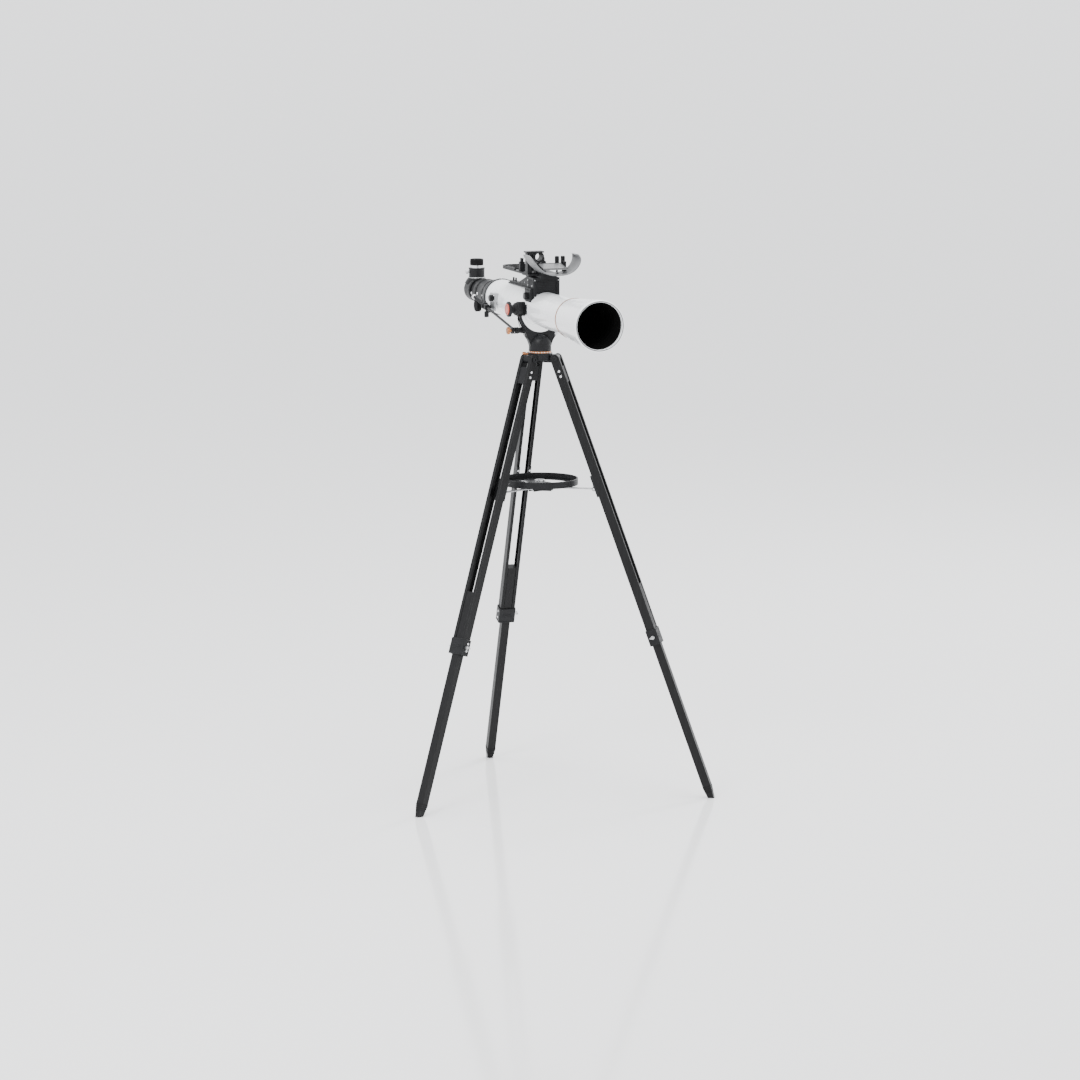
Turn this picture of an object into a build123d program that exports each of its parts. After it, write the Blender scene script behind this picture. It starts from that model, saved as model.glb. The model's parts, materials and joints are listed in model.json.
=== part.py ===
from build123d import *
import math
import os

# Long refractor telescope on a yoke mount and a three-leg tripod.
# Millimetres. +Z up, the origin on the floor below the azimuth axis, the
# objective end of the level tube towards -Y, the altitude axis along X.

# ---- driving dimensions -------------------------------------------------
ALTITUDE_Z = 1180.0        # height of the altitude axis
HINGE_Z = 1060.0           # height of the leg hinges
HINGE_R = 40.0             # leg hinges, distance from the azimuth axis
MAX_ALTITUDE = 40.0        # degrees above level
FOOT_R = 425.0             # feet, distance from the azimuth axis
LEG_AZIMUTHS = (88.6, -31.4, -151.4)
RUN_FIT = 0.05             # radial clearance of a running fit
GAP = 0.4                  # clearance between pieces that pass each other

SPLAY = math.degrees(math.atan2(FOOT_R - HINGE_R, HINGE_Z))
LEG_LENGTH = math.hypot(FOOT_R - HINGE_R, HINGE_Z)

# leg section: two facing channels with a box section sliding between them
RAIL_WIDTH = 7.4
RAIL_DEPTH = 21.6
RAIL_WALL = 1.4
LEG_WIDTH = 36.4
RAIL_END = 727.0           # lower end of the rails, along the leg
INNER_WIDTH = 20.4
INNER_DEPTH = 20.4
INNER_WALL = 1.5
INNER_TOP = 578.0          # upper end of the sliding section, along the leg
FOOT_LENGTH = 30.0

CLAMP_TOP = 692.0
CLAMP_LENGTH = 39.0
CLAMP_WIDTH = 41.2
CLAMP_DEPTH = 26.4
CLAMP_MIDDLE = CLAMP_TOP + CLAMP_LENGTH / 2
LOCK_SIDES = (-1, -1, 1)   # side of each leg that carries its lock screw
BRACKET_TOP = 294.0
BRACKET_LENGTH = 54.0
BRACKET_WALL = 4.0
BRIDGE_TOP = 316.0         # cross plate between the bracket's two straps
BRIDGE_LENGTH = 26.0
BRIDGE_WALL = 1.6
LOCK_SCREW_R = 3.0
HINGE_PIN_R = 4.0
TOP_BLOCK_END = 62.0
HEAD_BOLTS = (31.5, 44.2)  # through bolts, distance below the hinge
HEAD_BOLT_R = 2.1
CLAMP_BOLTS = (CLAMP_TOP + 9.5, CLAMP_TOP + 27.0)
CLAMP_BOLT_X = -3.0

# accessory tray and its spreader arms
TRAY_R = 92.0
TRAY_Z = 753.5
TRAY_HEIGHT = 16.0
TRAY_WALL = 3.0
TRAY_FLOOR = 2.5
ARM_Z = 746.5
ARM_OUTER_R = 134.8        # pivot on the leg bracket
ARM_INNER_R = 20.0         # pivot in the tray hub
ARM_THICK = 2.6
ARM_WIDTH = 12.0
ARM_PIN_R = 2.0

# head, azimuth bearing and yoke
HUB_TOP = 1074.0
HUB_R = 30.0
HUB_BASE = 1056.0
LUG_R = 9.5
SPINDLE_R = 10.0
RING_R = 27.5
RING_TOP = 1077.6
YOKE_BASE = 1078.0
LOCK_Z = 1069.4             # azimuth lock screw
LOCK_AZIMUTH = 170.0
COLUMN_R = 27.0
DOME_Z = 1094.0
ARM_INNER = 49.5           # clear half-width between the yoke arms
ARCH_Z = 1123.0            # bottom of the arch under the tube
YOKE_ARM_DEPTH = 16.0
TRUNNION_R = 8.0
YOKE_BOSS_R = 17.2
YOKE_BOSS_X = 60.5
ARM_SLOT = (1137.0, 1159.0)  # opening that splits each arm into two ribs

# optical tube
TUBE_R = 43.0
TUBE_WALL = 1.6
TUBE_FRONT = -249.0
TUBE_REAR = 288.0
SHIELD_FRONT = -429.0
SHIELD_R = 61.0
SHIELD_ROOT_R = 48.0
LENS_R = 39.0
DRAW_R = 19.0
DRAW_WALL = 1.8
DIAGONAL_Y = 488.0
DIAGONAL_R = 30.0
BARREL_R = 15.875          # eyepiece barrel, 1.25 inch
FOCUS_SHAFT_Y = 340.0
FOCUS_SHAFT_Z = 1155.0
DRAW_END = 446.0           # rear flange of the draw tube

# slow-motion rod, in a plane beside the tube
ROD_X = -62.0
ROD_R = 3.0
ROD_CLAMP_Y = 5.0
ROD_CLAMP_Z = 1128.0
ROD_CLAMP_SEAT = 45.8      # face of the clamp's seat on the yoke arm
ROD_PIVOT_Y = 222.0
ROD_PIVOT_Z = 1163.5
ROD_TAIL = 92.0            # rod behind the swivel pivot

ROD_SWING = 5.6            # room for the rod's swing across the clamp
ROD_SWING_OFFSET = 0.75   # the swing is larger on one side

# finder dock on top of the tube
DOCK_FRONT = -50.0
DOCK_REAR = 0.0
DOCK_HALF = 33.5
DOCK_TOP = 1258.0
RAIL_REAR = 210.0          # rear end of the rail on the tube
TRAY_PLATE_Z = 1262.0
TRAY_END = 190.0           # rear end of the phone tray
HOOD_WALL = 2.6
HOOD_FRONT = -112.0
HOOD_REAR = -52.0
MIRROR_X = 4.0
CLAMP_Y = 52.0             # front of the phone jaw at rest
SIGHT_X = -14.7            # axis of the sight tube
SIGHT_Z = 1307.0
ADJUSTER_X = (30.5, 45.5)
ADJUSTER_Y = -36.0


# ---- helpers ------------------------------------------------------------
def block(x0, x1, y0, y1, z0, z1):
    solid = Box(x1 - x0, y1 - y0, z1 - z0)
    return Pos((x0 + x1) / 2, (y0 + y1) / 2, (z0 + z1) / 2) * solid


def rod_x(radius, x0, x1, y, z):
    return Pos((x0 + x1) / 2, y, z) * Rot(0, 90, 0) * Cylinder(radius, x1 - x0)


def rod_y(radius, y0, y1, x, z):
    return Pos(x, (y0 + y1) / 2, z) * Rot(90, 0, 0) * Cylinder(radius, y1 - y0)


def rod_z(radius, z0, z1, x, y):
    return Pos(x, y, (z0 + z1) / 2) * Cylinder(radius, z1 - z0)


def turned_y(points, z=ALTITUDE_Z):
    """Solid of revolution about a Y line: points are (y, radius)."""
    outline = Polyline(*[(r, y) for y, r in points], close=True)
    solid = revolve(make_face(outline), Axis.Y)
    return Pos(0, 0, z) * solid


def turned_z(points, x=0.0, y=0.0):
    """Solid of revolution about a Z line: points are (z, radius)."""
    outline = Polyline(*[(r, 0, z) for z, r in points], close=True)
    return Pos(x, y, 0) * revolve(make_face(outline), Axis.Z)


def lobed_knob(radius, length, lobes, depth):
    """Hand knob along +Z from z = 0, with round flutes cut in its rim."""
    knob = Pos(0, 0, length / 2) * Cylinder(radius, length)
    knob = chamfer(knob.edges().filter_by(GeomType.CIRCLE), min(1.2, length / 5))
    flute_r = radius * math.pi / lobes * 0.5
    for index in range(lobes):
        place = Rot(0, 0, 360 / lobes * index) * Pos(radius + flute_r - depth, 0, length / 2)
        knob -= place * Cylinder(flute_r, length + 2)
    return knob


def knob_x(knob, x, y, z, outward):
    """Lay a knob built along +Z along X, pointing to the side 'outward'."""
    return Pos(x, y, z) * Rot(0, 90 * outward, 0) * knob


def save(node, *solids):
    shape = solids[0] if len(solids) == 1 else Compound(children=list(solids))
    export_step(shape, f"parts/{node}.step")


# ---- tripod legs ---------------------------------------------------------
# A leg is drawn straight down from its hinge at the local origin: -Z along
# the leg, +X outward, +Y to the left as seen from outside. leg_place tilts
# it to its splay and turns it to its azimuth.
def leg_place(azimuth):
    tilt = Pos(HINGE_R, 0, HINGE_Z) * Rot(0, -SPLAY, 0)
    return Rot(0, 0, azimuth) * tilt


def leg_local(radius, height):
    """Local (x, distance along the leg) of a point given in the tripod frame."""
    angle = math.radians(SPLAY)
    dr = radius - HINGE_R
    dz = height - HINGE_Z
    x = dr * math.cos(angle) + dz * math.sin(angle)
    distance = dr * math.sin(angle) - dz * math.cos(angle)
    return x, distance


def along(length, start, width, depth):
    """Bar down the leg from 'start' to start + length."""
    return Pos(0, 0, -(start + length / 2)) * Box(depth, width, length)


def rail(side):
    outer = LEG_WIDTH / 2
    top = -RAIL_DEPTH / 2
    body = block(-RAIL_DEPTH / 2, RAIL_DEPTH / 2, outer - RAIL_WIDTH, outer, -RAIL_END, 0)
    crown = rod_y(RAIL_DEPTH / 2, outer - RAIL_WIDTH, outer, 0, 0)
    solid = body + crown
    solid -= block(
        top + RAIL_WALL, -top - RAIL_WALL,
        outer - RAIL_WIDTH - 1, outer - RAIL_WALL - 0.2,
        -RAIL_END - 1, RAIL_DEPTH,
    )
    solid -= rod_y(HINGE_PIN_R + RUN_FIT, 0, LEG_WIDTH, 0, 0)
    for distance in HEAD_BOLTS:
        solid -= rod_y(HEAD_BOLT_R, 0, LEG_WIDTH, 0, -distance)
    return solid if side > 0 else mirror(solid, about=Plane.XZ)


def top_block():
    """Bearing block in the channel heads, slotted for the head's lug."""
    width = LEG_WIDTH - 2 * (RAIL_WALL + 0.2)
    depth = RAIL_DEPTH - 2 * RAIL_WALL
    solid = along(TOP_BLOCK_END, 0, width, depth) + rod_y(depth / 2, -width / 2, width / 2, 0, 0)
    slot = LEG_WIDTH - 2 * RAIL_WIDTH
    solid -= block(-depth, depth, -slot / 2, slot / 2, -22, depth)
    solid -= rod_y(HINGE_PIN_R + RUN_FIT, -LEG_WIDTH, LEG_WIDTH, 0, 0)
    for distance in HEAD_BOLTS:
        solid -= rod_y(HEAD_BOLT_R, -LEG_WIDTH, LEG_WIDTH, 0, -distance)
    return solid


def brace_bracket():
    """A strap on the inner side of each rail, and a bridge with the ears of the spreader arm."""
    rail_face = -RAIL_DEPTH / 2
    face = rail_face - BRIDGE_WALL
    half = LEG_WIDTH / 2
    bridge_end = -(BRIDGE_TOP + BRIDGE_LENGTH)
    solid = block(face, rail_face, -half, half, bridge_end, -BRIDGE_TOP)
    low_end = -(BRACKET_TOP + BRACKET_LENGTH)
    strap = block(rail_face - BRACKET_WALL, rail_face, half - RAIL_WIDTH, half, low_end, -BRACKET_TOP)
    strap = chamfer(strap.faces().sort_by(Axis.X)[0].edges(), 0.6)
    solid += strap + mirror(strap, about=Plane.XZ)
    x, distance = leg_local(ARM_OUTER_R, ARM_Z)
    for side in (-1, 1):
        inner = side * (ARM_WIDTH / 2 + GAP)
        outer = side * (ARM_WIDTH / 2 + GAP + 2.4)
        low = min(inner, outer)
        high = max(inner, outer)
        ear = rod_y(5, low, high, x, -distance)
        ear += block(x, face + 0.5, low, high, -distance - 5, -distance + 9)
        solid += ear
    return solid - rod_y(ARM_PIN_R, -20, 20, x, -distance)


def brace_pin():
    x, distance = leg_local(ARM_OUTER_R, ARM_Z)
    half = ARM_WIDTH / 2 + GAP + 2.4
    shaft = rod_y(ARM_PIN_R, -half, half, x, -distance)
    heads = rod_y(3.2, half, half + 1.6, x, -distance) + rod_y(3.2, -half - 1.6, -half, x, -distance)
    return shaft + heads


def button_head(radius, height):
    """Round screw head on z = 0, domed outward, with a hex socket."""
    head = Pos(0, 0, height / 2) * Cylinder(radius, height)
    head = fillet(head.edges().sort_by(Axis.Z)[-1], height * 0.45)
    socket = extrude(Pos(0, 0, height * 0.45) * RegularPolygon(radius * 0.45, 6), height)
    return head - socket


def side_head(radius, height, x, y, z, side):
    return Pos(x, y, z) * Rot(-90 * side, 0, 0) * button_head(radius, height)


def leg_bolts():
    """Two through bolts at the head of the leg, two in the clamp, two at the bracket."""
    solids = []
    half = LEG_WIDTH / 2
    for distance in HEAD_BOLTS:
        shank = rod_y(HEAD_BOLT_R, -half, half, 0, -distance)
        for side in (-1, 1):
            shank += side_head(3.1, 1.8, 0, side * half, -distance, side)
        solids.append(shank)
    clamp_half = CLAMP_WIDTH / 2
    for distance in CLAMP_BOLTS:
        shank = rod_y(1.8, half, clamp_half, CLAMP_BOLT_X, -distance)
        solids.append(shank + side_head(2.9, 1.8, CLAMP_BOLT_X, clamp_half, -distance, 1))
    face = -RAIL_DEPTH / 2 - BRACKET_WALL
    for side in (-1, 1):
        middle = side * (LEG_WIDTH - RAIL_WIDTH) / 2
        place = Pos(face, middle, -(BRACKET_TOP + 10)) * Rot(0, -90, 0)
        solids.append(place * button_head(2.6, 1.6))
    solids.append(brace_pin())
    return solids


def lock_hole(side):
    """Clearance for the lock screw from the leg's middle outwards."""
    hole = rod_y(LOCK_SCREW_R + RUN_FIT, 0, CLAMP_WIDTH, 0, -CLAMP_MIDDLE)
    return hole if side > 0 else mirror(hole, about=Plane.XZ)


def clamp_collar(lock_side):
    """Sleeve round both rails, closed below round the sliding section."""
    solid = along(CLAMP_LENGTH, CLAMP_TOP, CLAMP_WIDTH, CLAMP_DEPTH)
    solid = fillet(solid.edges().filter_by(Axis.Z), 1.6)
    solid = chamfer(solid.faces().sort_by(Axis.Z)[-1].edges(), 0.6)
    solid = chamfer(solid.faces().sort_by(Axis.Z)[0].edges(), 0.6)
    solid -= along(RAIL_END - CLAMP_TOP + 1, CLAMP_TOP - 1, LEG_WIDTH, RAIL_DEPTH)
    solid -= along(CLAMP_LENGTH + 2, CLAMP_TOP - 1, INNER_WIDTH + GAP, INNER_DEPTH + GAP)
    for distance in CLAMP_BOLTS:
        solid -= rod_y(1.8, 0, CLAMP_WIDTH, CLAMP_BOLT_X, -distance)
    return solid - lock_hole(lock_side)


def lock_knob(side):
    """Wing screw on one side of the clamp."""
    face = CLAMP_WIDTH / 2
    knob = rod_y(LOCK_SCREW_R, INNER_WIDTH / 2 + GAP, face + 5, 0, -CLAMP_MIDDLE)
    knob += rod_y(4.4, face + GAP, face + 5, 0, -CLAMP_MIDDLE)
    wing = block(-6.5, 6.5, face + 4, face + 10.5, -CLAMP_MIDDLE - 1.5, -CLAMP_MIDDLE + 1.5)
    knob += fillet(wing.edges().filter_by(Axis.Z), 3.0)
    return knob if side > 0 else mirror(knob, about=Plane.XZ)


def inner_leg():
    """Hollow box section, closed at its upper end by a plug."""
    length = LEG_LENGTH - FOOT_LENGTH - INNER_TOP
    solid = along(length, INNER_TOP, INNER_WIDTH, INNER_DEPTH)
    solid = fillet(solid.edges().filter_by(Axis.Z), 1.2)
    wall = 2 * INNER_WALL
    return solid - along(length, INNER_TOP + 4, INNER_WIDTH - wall, INNER_DEPTH - wall)


def foot(azimuth):
    """Tapered foot whose sole is level with the floor."""
    start = LEG_LENGTH - FOOT_LENGTH
    top = Pos(0, 0, -start) * Rectangle(INNER_DEPTH, INNER_WIDTH)
    low = Pos(0, 0, -LEG_LENGTH) * Rectangle(INNER_DEPTH - 6.5, INNER_WIDTH - 8)
    tip = Pos(0, 0, -LEG_LENGTH - 8) * Rectangle(INNER_DEPTH - 6.5, INNER_WIDTH - 8)
    solid = loft([top, low]) + loft([low, tip])
    plug = along(16, start - 16, INNER_WIDTH - 2 * INNER_WALL, INNER_DEPTH - 2 * INNER_WALL)
    solid = leg_place(azimuth) * (solid + plug)
    return solid - block(-600, 600, -600, 600, -60, 0)


def spreader_arm():
    """Flat arm with a pin eye at the bracket and a slotted end in the tray hub."""
    half = ARM_WIDTH / 2
    bar = block(ARM_INNER_R + 3, ARM_OUTER_R - 2, -half, half, ARM_Z - ARM_THICK / 2, ARM_Z + ARM_THICK / 2)
    eye = rod_y(4.5, -half, half, ARM_OUTER_R, ARM_Z)
    slot_end = ARM_INNER_R + 9.0
    slot_r = ARM_PIN_R + 1.0
    end_r = slot_r + 1.6
    end = block(ARM_INNER_R - 0.5, slot_end, -half, half, ARM_Z - end_r, ARM_Z + end_r)
    end += rod_y(end_r, -half, half, ARM_INNER_R - 0.5, ARM_Z)
    end += rod_y(end_r, -half, half, slot_end, ARM_Z)
    arm = bar + eye + end
    arm -= rod_y(ARM_PIN_R + RUN_FIT, -half - 1, half + 1, ARM_OUTER_R, ARM_Z)
    arm -= rod_y(slot_r, -half - 1, half + 1, ARM_INNER_R - 0.5, ARM_Z)
    arm -= rod_y(slot_r, -half - 1, half + 1, slot_end, ARM_Z)
    arm -= block(ARM_INNER_R - 0.5, slot_end, -half - 1, half + 1, ARM_Z - slot_r, ARM_Z + slot_r)
    return arm


def make_legs():
    for number, (azimuth, lock_side) in enumerate(zip(LEG_AZIMUTHS, LOCK_SIDES), start=1):
        place = leg_place(azimuth)
        fittings = [top_block(), brace_bracket(), clamp_collar(lock_side)]
        rails = [rail(side) - lock_hole(lock_side) for side in (-1, 1)]
        save(f"rails_{number}", *[place * solid for solid in rails])
        save(f"leg_fittings_{number}", *[place * solid for solid in fittings])
        save(f"leg_bolts_{number}", *[place * solid for solid in leg_bolts()])
        save(f"inner_leg_{number}", place * inner_leg(), foot(azimuth))
        save(f"lock_knob_{number}", place * lock_knob(lock_side))
        save(f"brace_arm_{number}", Rot(0, 0, azimuth) * spreader_arm())


# ---- accessory tray --------------------------------------------------------
def tray():
    """Ring with a low wall and a floor cut into three wide spokes."""
    wall = rod_z(TRAY_R, TRAY_Z, TRAY_Z + TRAY_HEIGHT, 0, 0)
    wall -= rod_z(TRAY_R - TRAY_WALL, TRAY_Z + TRAY_FLOOR, TRAY_Z + TRAY_HEIGHT + 1, 0, 0)
    cutters = rod_z(TRAY_R - 14, TRAY_Z - 1, TRAY_Z + TRAY_FLOOR + 1, 0, 0)
    cutters -= rod_z(30, TRAY_Z - 2, TRAY_Z + TRAY_FLOOR + 2, 0, 0)
    for azimuth in LEG_AZIMUTHS:
        spoke = block(0, TRAY_R, -13, 13, TRAY_Z - 2, TRAY_Z + TRAY_FLOOR + 2)
        cutters -= Rot(0, 0, azimuth) * spoke
    ring = wall - cutters
    rim = ring.edges().filter_by(GeomType.CIRCLE).group_by(Axis.Z)[-1]
    ring = fillet(rim, 1.2)
    return ring - rod_z(3.1, TRAY_Z - 2, TRAY_Z + 5, 0, 0)


def tray_hub():
    """Plate below the tray with a clevis for each spreader arm."""
    plate = rod_z(13, ARM_Z - 8, TRAY_Z, 0, 0)
    half = ARM_WIDTH / 2 + GAP
    for azimuth in LEG_AZIMUTHS:
        cheeks = block(2, 30, -half - 3, half + 3, ARM_Z - 8, TRAY_Z)
        plate += Rot(0, 0, azimuth) * cheeks
    for azimuth in LEG_AZIMUTHS:
        channel = block(7, 31, -half, half, ARM_Z - 9, TRAY_Z + 1)
        plate -= Rot(0, 0, azimuth) * channel
        plate -= Rot(0, 0, azimuth) * rod_y(ARM_PIN_R, -30, 30, ARM_INNER_R, ARM_Z)
    return plate - rod_z(3.1, ARM_Z - 10, TRAY_Z + 1, 0, 0)


def hub_pins():
    half = ARM_WIDTH / 2 + GAP + 3
    pins = []
    for azimuth in LEG_AZIMUTHS:
        pin = rod_y(ARM_PIN_R, -half, half, ARM_INNER_R, ARM_Z)
        pins.append(Rot(0, 0, azimuth) * pin)
    return pins


def tray_knob():
    """Thumb nut in the middle of the tray on its screw."""
    screw = rod_z(3.1, ARM_Z - 8, TRAY_Z + TRAY_FLOOR, 0, 0)
    knob = Pos(0, 0, TRAY_Z + TRAY_FLOOR) * lobed_knob(13, 9, 6, 2.2)
    return screw + knob


# ---- tripod head and azimuth bearing ---------------------------------------
def tripod_head():
    """Flanged hub with a blind bore and three lugs for the leg hinges."""
    hub = rod_z(HUB_R, HUB_BASE, HUB_TOP, 0, 0)
    hub = chamfer(hub.edges().group_by(Axis.Z)[-1], 1.5)
    hub = chamfer(hub.edges().group_by(Axis.Z)[0], 1.0)
    lug_half = (LEG_WIDTH - 2 * RAIL_WIDTH) / 2 - 0.35
    for azimuth in LEG_AZIMUTHS:
        lug = block(10, HINGE_R, -lug_half, lug_half, HINGE_Z - LUG_R, HINGE_Z + LUG_R)
        lug += rod_y(LUG_R, -lug_half, lug_half, HINGE_R, HINGE_Z)
        lug -= rod_y(HINGE_PIN_R, -30, 30, HINGE_R, HINGE_Z)
        hub += Rot(0, 0, azimuth) * lug
    hub -= rod_z(SPINDLE_R + RUN_FIT, HUB_BASE + 3, HUB_TOP + 1, 0, 0)
    return hub - Rot(0, 0, LOCK_AZIMUTH) * rod_x(3.0 + RUN_FIT, 0, HUB_R + 2, 0, LOCK_Z)


def hinge_pins():
    pins = []
    half = LEG_WIDTH / 2 + 0.4
    for azimuth in LEG_AZIMUTHS:
        pin = rod_y(HINGE_PIN_R, -half, half, HINGE_R, HINGE_Z)
        for side in (-1, 1):
            pin += side_head(6.2, 2.6, HINGE_R, side * half, HINGE_Z, side)
        pins.append(Rot(0, 0, azimuth) * pin)
    return pins


def azimuth_ring():
    """Flat metal ring with a graduated rim."""
    ring = rod_z(RING_R, HUB_TOP, RING_TOP, 0, 0)
    ring -= rod_z(SPINDLE_R + 4, HUB_TOP - 1, RING_TOP + 1, 0, 0)
    for index in range(36):
        notch = Pos(RING_R, 0, RING_TOP) * Box(1.0, 0.9, 2.4)
        ring -= Rot(0, 0, 10 * index) * notch
    return ring


def azimuth_lock():
    """Metal thumbscrew that bears on the yoke spindle."""
    screw = rod_x(3.0, SPINDLE_R + GAP, HUB_R + 4, 0, LOCK_Z)
    neck = rod_x(3.9, HUB_R + 0.5, HUB_R + 5, 0, LOCK_Z)
    head = knob_x(lobed_knob(6.0, 9, 10, 0.6), HUB_R + 4, 0, LOCK_Z, 1)
    return Rot(0, 0, LOCK_AZIMUTH) * (screw + neck + head)


# ---- yoke --------------------------------------------------------------------
def yoke_outline(inset):
    """Half front outline of the yoke: out along the arm and back inside."""
    outer = [(26.0, DOME_Z - 4), (36.0, 1116.0), (47.0, 1140.0), (55.5, 1163.0), (57.5, ALTITUDE_Z)]
    moved = [(x - inset, z) for x, z in outer]
    side = Spline(*[(x, 0, z) for x, z in moved])
    rest = Polyline(
        (57.5 - inset, 0, ALTITUDE_Z), (0, 0, ALTITUDE_Z), (0, 0, DOME_Z - 4), (26.0 - inset, 0, DOME_Z - 4)
    )
    return make_face(side + rest)


def yoke_plate(inset, depth):
    half = extrude(yoke_outline(inset), amount=depth / 2, both=True)
    return half + mirror(half, about=Plane.YZ)


def yoke():
    """Round column with a domed shoulder and a fork of two arms."""
    column = rod_z(COLUMN_R, YOKE_BASE, DOME_Z, 0, 0)
    dome = Pos(0, 0, DOME_Z) * Sphere(COLUMN_R)
    column += dome - block(-40, 40, -40, 40, DOME_Z - 40, DOME_Z)
    plate = yoke_plate(0, YOKE_ARM_DEPTH)
    edge = yoke_plate(0, YOKE_ARM_DEPTH - 7) - yoke_plate(1.6, YOKE_ARM_DEPTH)
    keep = block(-60, 60, -20, 20, 1118, 1162)
    plate -= edge & keep
    boss = rod_x(YOKE_BOSS_R, ARM_INNER, YOKE_BOSS_X, 0, ALTITUDE_Z)
    boss = chamfer(boss.edges().group_by(Axis.X)[-1], 2.0)
    fork = plate + boss + mirror(boss, about=Plane.YZ)
    arch_z = ARCH_Z + ARM_INNER
    fork -= rod_y(ARM_INNER, -40, 40, 0, arch_z)
    fork -= block(-ARM_INNER, ARM_INNER, -40, 40, arch_z, ALTITUDE_Z + 40)
    fork -= block(-70, 70, -3.4, 3.4, *ARM_SLOT)
    fork += rod_x(7.5, -ROD_CLAMP_SEAT, -34, ROD_CLAMP_Y, ROD_CLAMP_Z)
    body = column + fork
    rear_sweep = Pos(0, 0, ALTITUDE_Z) * Rot(-MAX_ALTITUDE - 2, 0, 0) * rod_y(TUBE_R + 2.2, 0, 240, 0, 0)
    body -= rear_sweep
    body -= rod_x(TRUNNION_R + RUN_FIT, -70, 70, 0, ALTITUDE_Z)
    body += rod_z(SPINDLE_R, HUB_BASE + 3 + GAP, YOKE_BASE + 1, 0, 0)
    clamp_bore = rod_x(4.0 + RUN_FIT, -60, -28, ROD_CLAMP_Y, ROD_CLAMP_Z)
    return body - clamp_bore


def yoke_screws():
    """Bright cap screws on the front and rear of the right arm's root."""
    screws = []
    for side in (-1, 1):
        place = Pos(38.0, side * YOKE_ARM_DEPTH / 2, 1119.0) * Rot(-90 * side, 0, 0)
        screws.append(place * button_head(3.6, 2.4))
    return screws


def altitude_knob(side):
    """Clamp knob that turns on the trunnion outside the yoke arm."""
    start = YOKE_BOSS_X + GAP
    outline = [(0, start), (15.0, start), (15.0, start + 3), (9.8, 69.5), (9.8, 76.5), (0, 76.5)]
    sleeve = revolve(make_face(Polyline(*outline, close=True)), Axis.Y)
    sleeve = Pos(0, 0, ALTITUDE_Z) * Rot(0, 0, -90 * side) * sleeve
    grip = knob_x(lobed_knob(18.5, 7.0, 12, 1.4), 75.5 * side, 0, ALTITUDE_Z, side)
    knob = sleeve + grip
    bore = rod_x(TRUNNION_R + RUN_FIT, 50, 77, 0, ALTITUDE_Z)
    return knob - (bore if side > 0 else mirror(bore, about=Plane.YZ))


def knob_cap(side):
    cap = Cylinder(13.5, 2.6)
    cap = fillet(cap.edges().sort_by(Axis.Z)[-1], 1.0)
    return Pos(83.8 * side, 0, ALTITUDE_Z) * Rot(0, 90 * side, 0) * cap


# ---- slow-motion rod -----------------------------------------------------------
def rod_angle():
    return math.degrees(math.atan2(ROD_PIVOT_Z - ROD_CLAMP_Z, ROD_PIVOT_Y - ROD_CLAMP_Y))


def rod_span():
    return math.hypot(ROD_PIVOT_Z - ROD_CLAMP_Z, ROD_PIVOT_Y - ROD_CLAMP_Y)


def on_rod(solid):
    """Place a solid drawn along +Z from the clamp onto the rod's line."""
    lean = Rot(-(90 - rod_angle()), 0, 0)
    return Pos(ROD_X, ROD_CLAMP_Y, ROD_CLAMP_Z) * lean * solid


def slow_rod():
    rear = rod_span() + ROD_TAIL
    rod = rod_z(ROD_R, -15, rear, 0, 0)
    rod = chamfer(rod.edges().group_by(Axis.Z)[0], 0.6)
    return on_rod(rod)


def rod_cap():
    rear = rod_span() + ROD_TAIL
    knob = rod_z(6.2, rear, rear + 9, 0, 0)
    return on_rod(fillet(knob.edges().filter_by(GeomType.CIRCLE), 2.0))


def rod_wheel():
    """Knurled adjusting wheel behind the swivel block."""
    start = rod_span() + 7.5
    wheel = Pos(0, 0, start) * lobed_knob(9.0, 8, 20, 0.6)
    return on_rod(wheel - rod_z(ROD_R + RUN_FIT, start - 1, start + 9, 0, 0))


def swivel_block():
    """Block on the rod that pivots on the tube's bracket."""
    at = rod_span()
    body = Pos(0, 0, at) * Box(12, 13, 14)
    body = fillet(body.edges().filter_by(Axis.Z), 2.0)
    body -= rod_z(ROD_R, at - 10, at + 10, 0, 0)
    body = on_rod(body)
    body += rod_x(4.0, ROD_X + 5, ROD_X + 16.5, ROD_PIVOT_Y, ROD_PIVOT_Z)
    stem_top = ROD_PIVOT_Z - 5.5
    stem = rod_z(2.5, stem_top - 8, stem_top, ROD_X, ROD_PIVOT_Y)
    return body + stem


def swivel_knob():
    """Small lock knob hanging below the swivel block."""
    top = ROD_PIVOT_Z - 11.0
    knob = Pos(ROD_X, ROD_PIVOT_Y, top - 14) * lobed_knob(5.6, 14, 8, 0.6)
    return knob - rod_z(2.5, top - 2.5, top + 1, ROD_X, ROD_PIVOT_Y)


def rod_bracket():
    """Plate on the side of the tube that holds the swivel block's pivot."""
    plate = block(-50.5, -46.5, ROD_PIVOT_Y - 28, ROD_PIVOT_Y + 9, ROD_PIVOT_Z - 9, 1198)
    plate = fillet(plate.edges().filter_by(Axis.X), 5.0)
    foot_pad = block(-47, -38, ROD_PIVOT_Y - 28, ROD_PIVOT_Y - 2, 1176, 1198)
    solid = plate + foot_pad
    solid -= rod_y(TUBE_R, 100, 300, 0, ALTITUDE_Z)
    return solid - rod_x(4.0 + RUN_FIT, -60, -44, ROD_PIVOT_Y, ROD_PIVOT_Z)


def bracket_knob():
    return knob_x(lobed_knob(8.0, 11, 8, 0.9), -50.5, ROD_PIVOT_Y - 18, 1187, -1)


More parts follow.
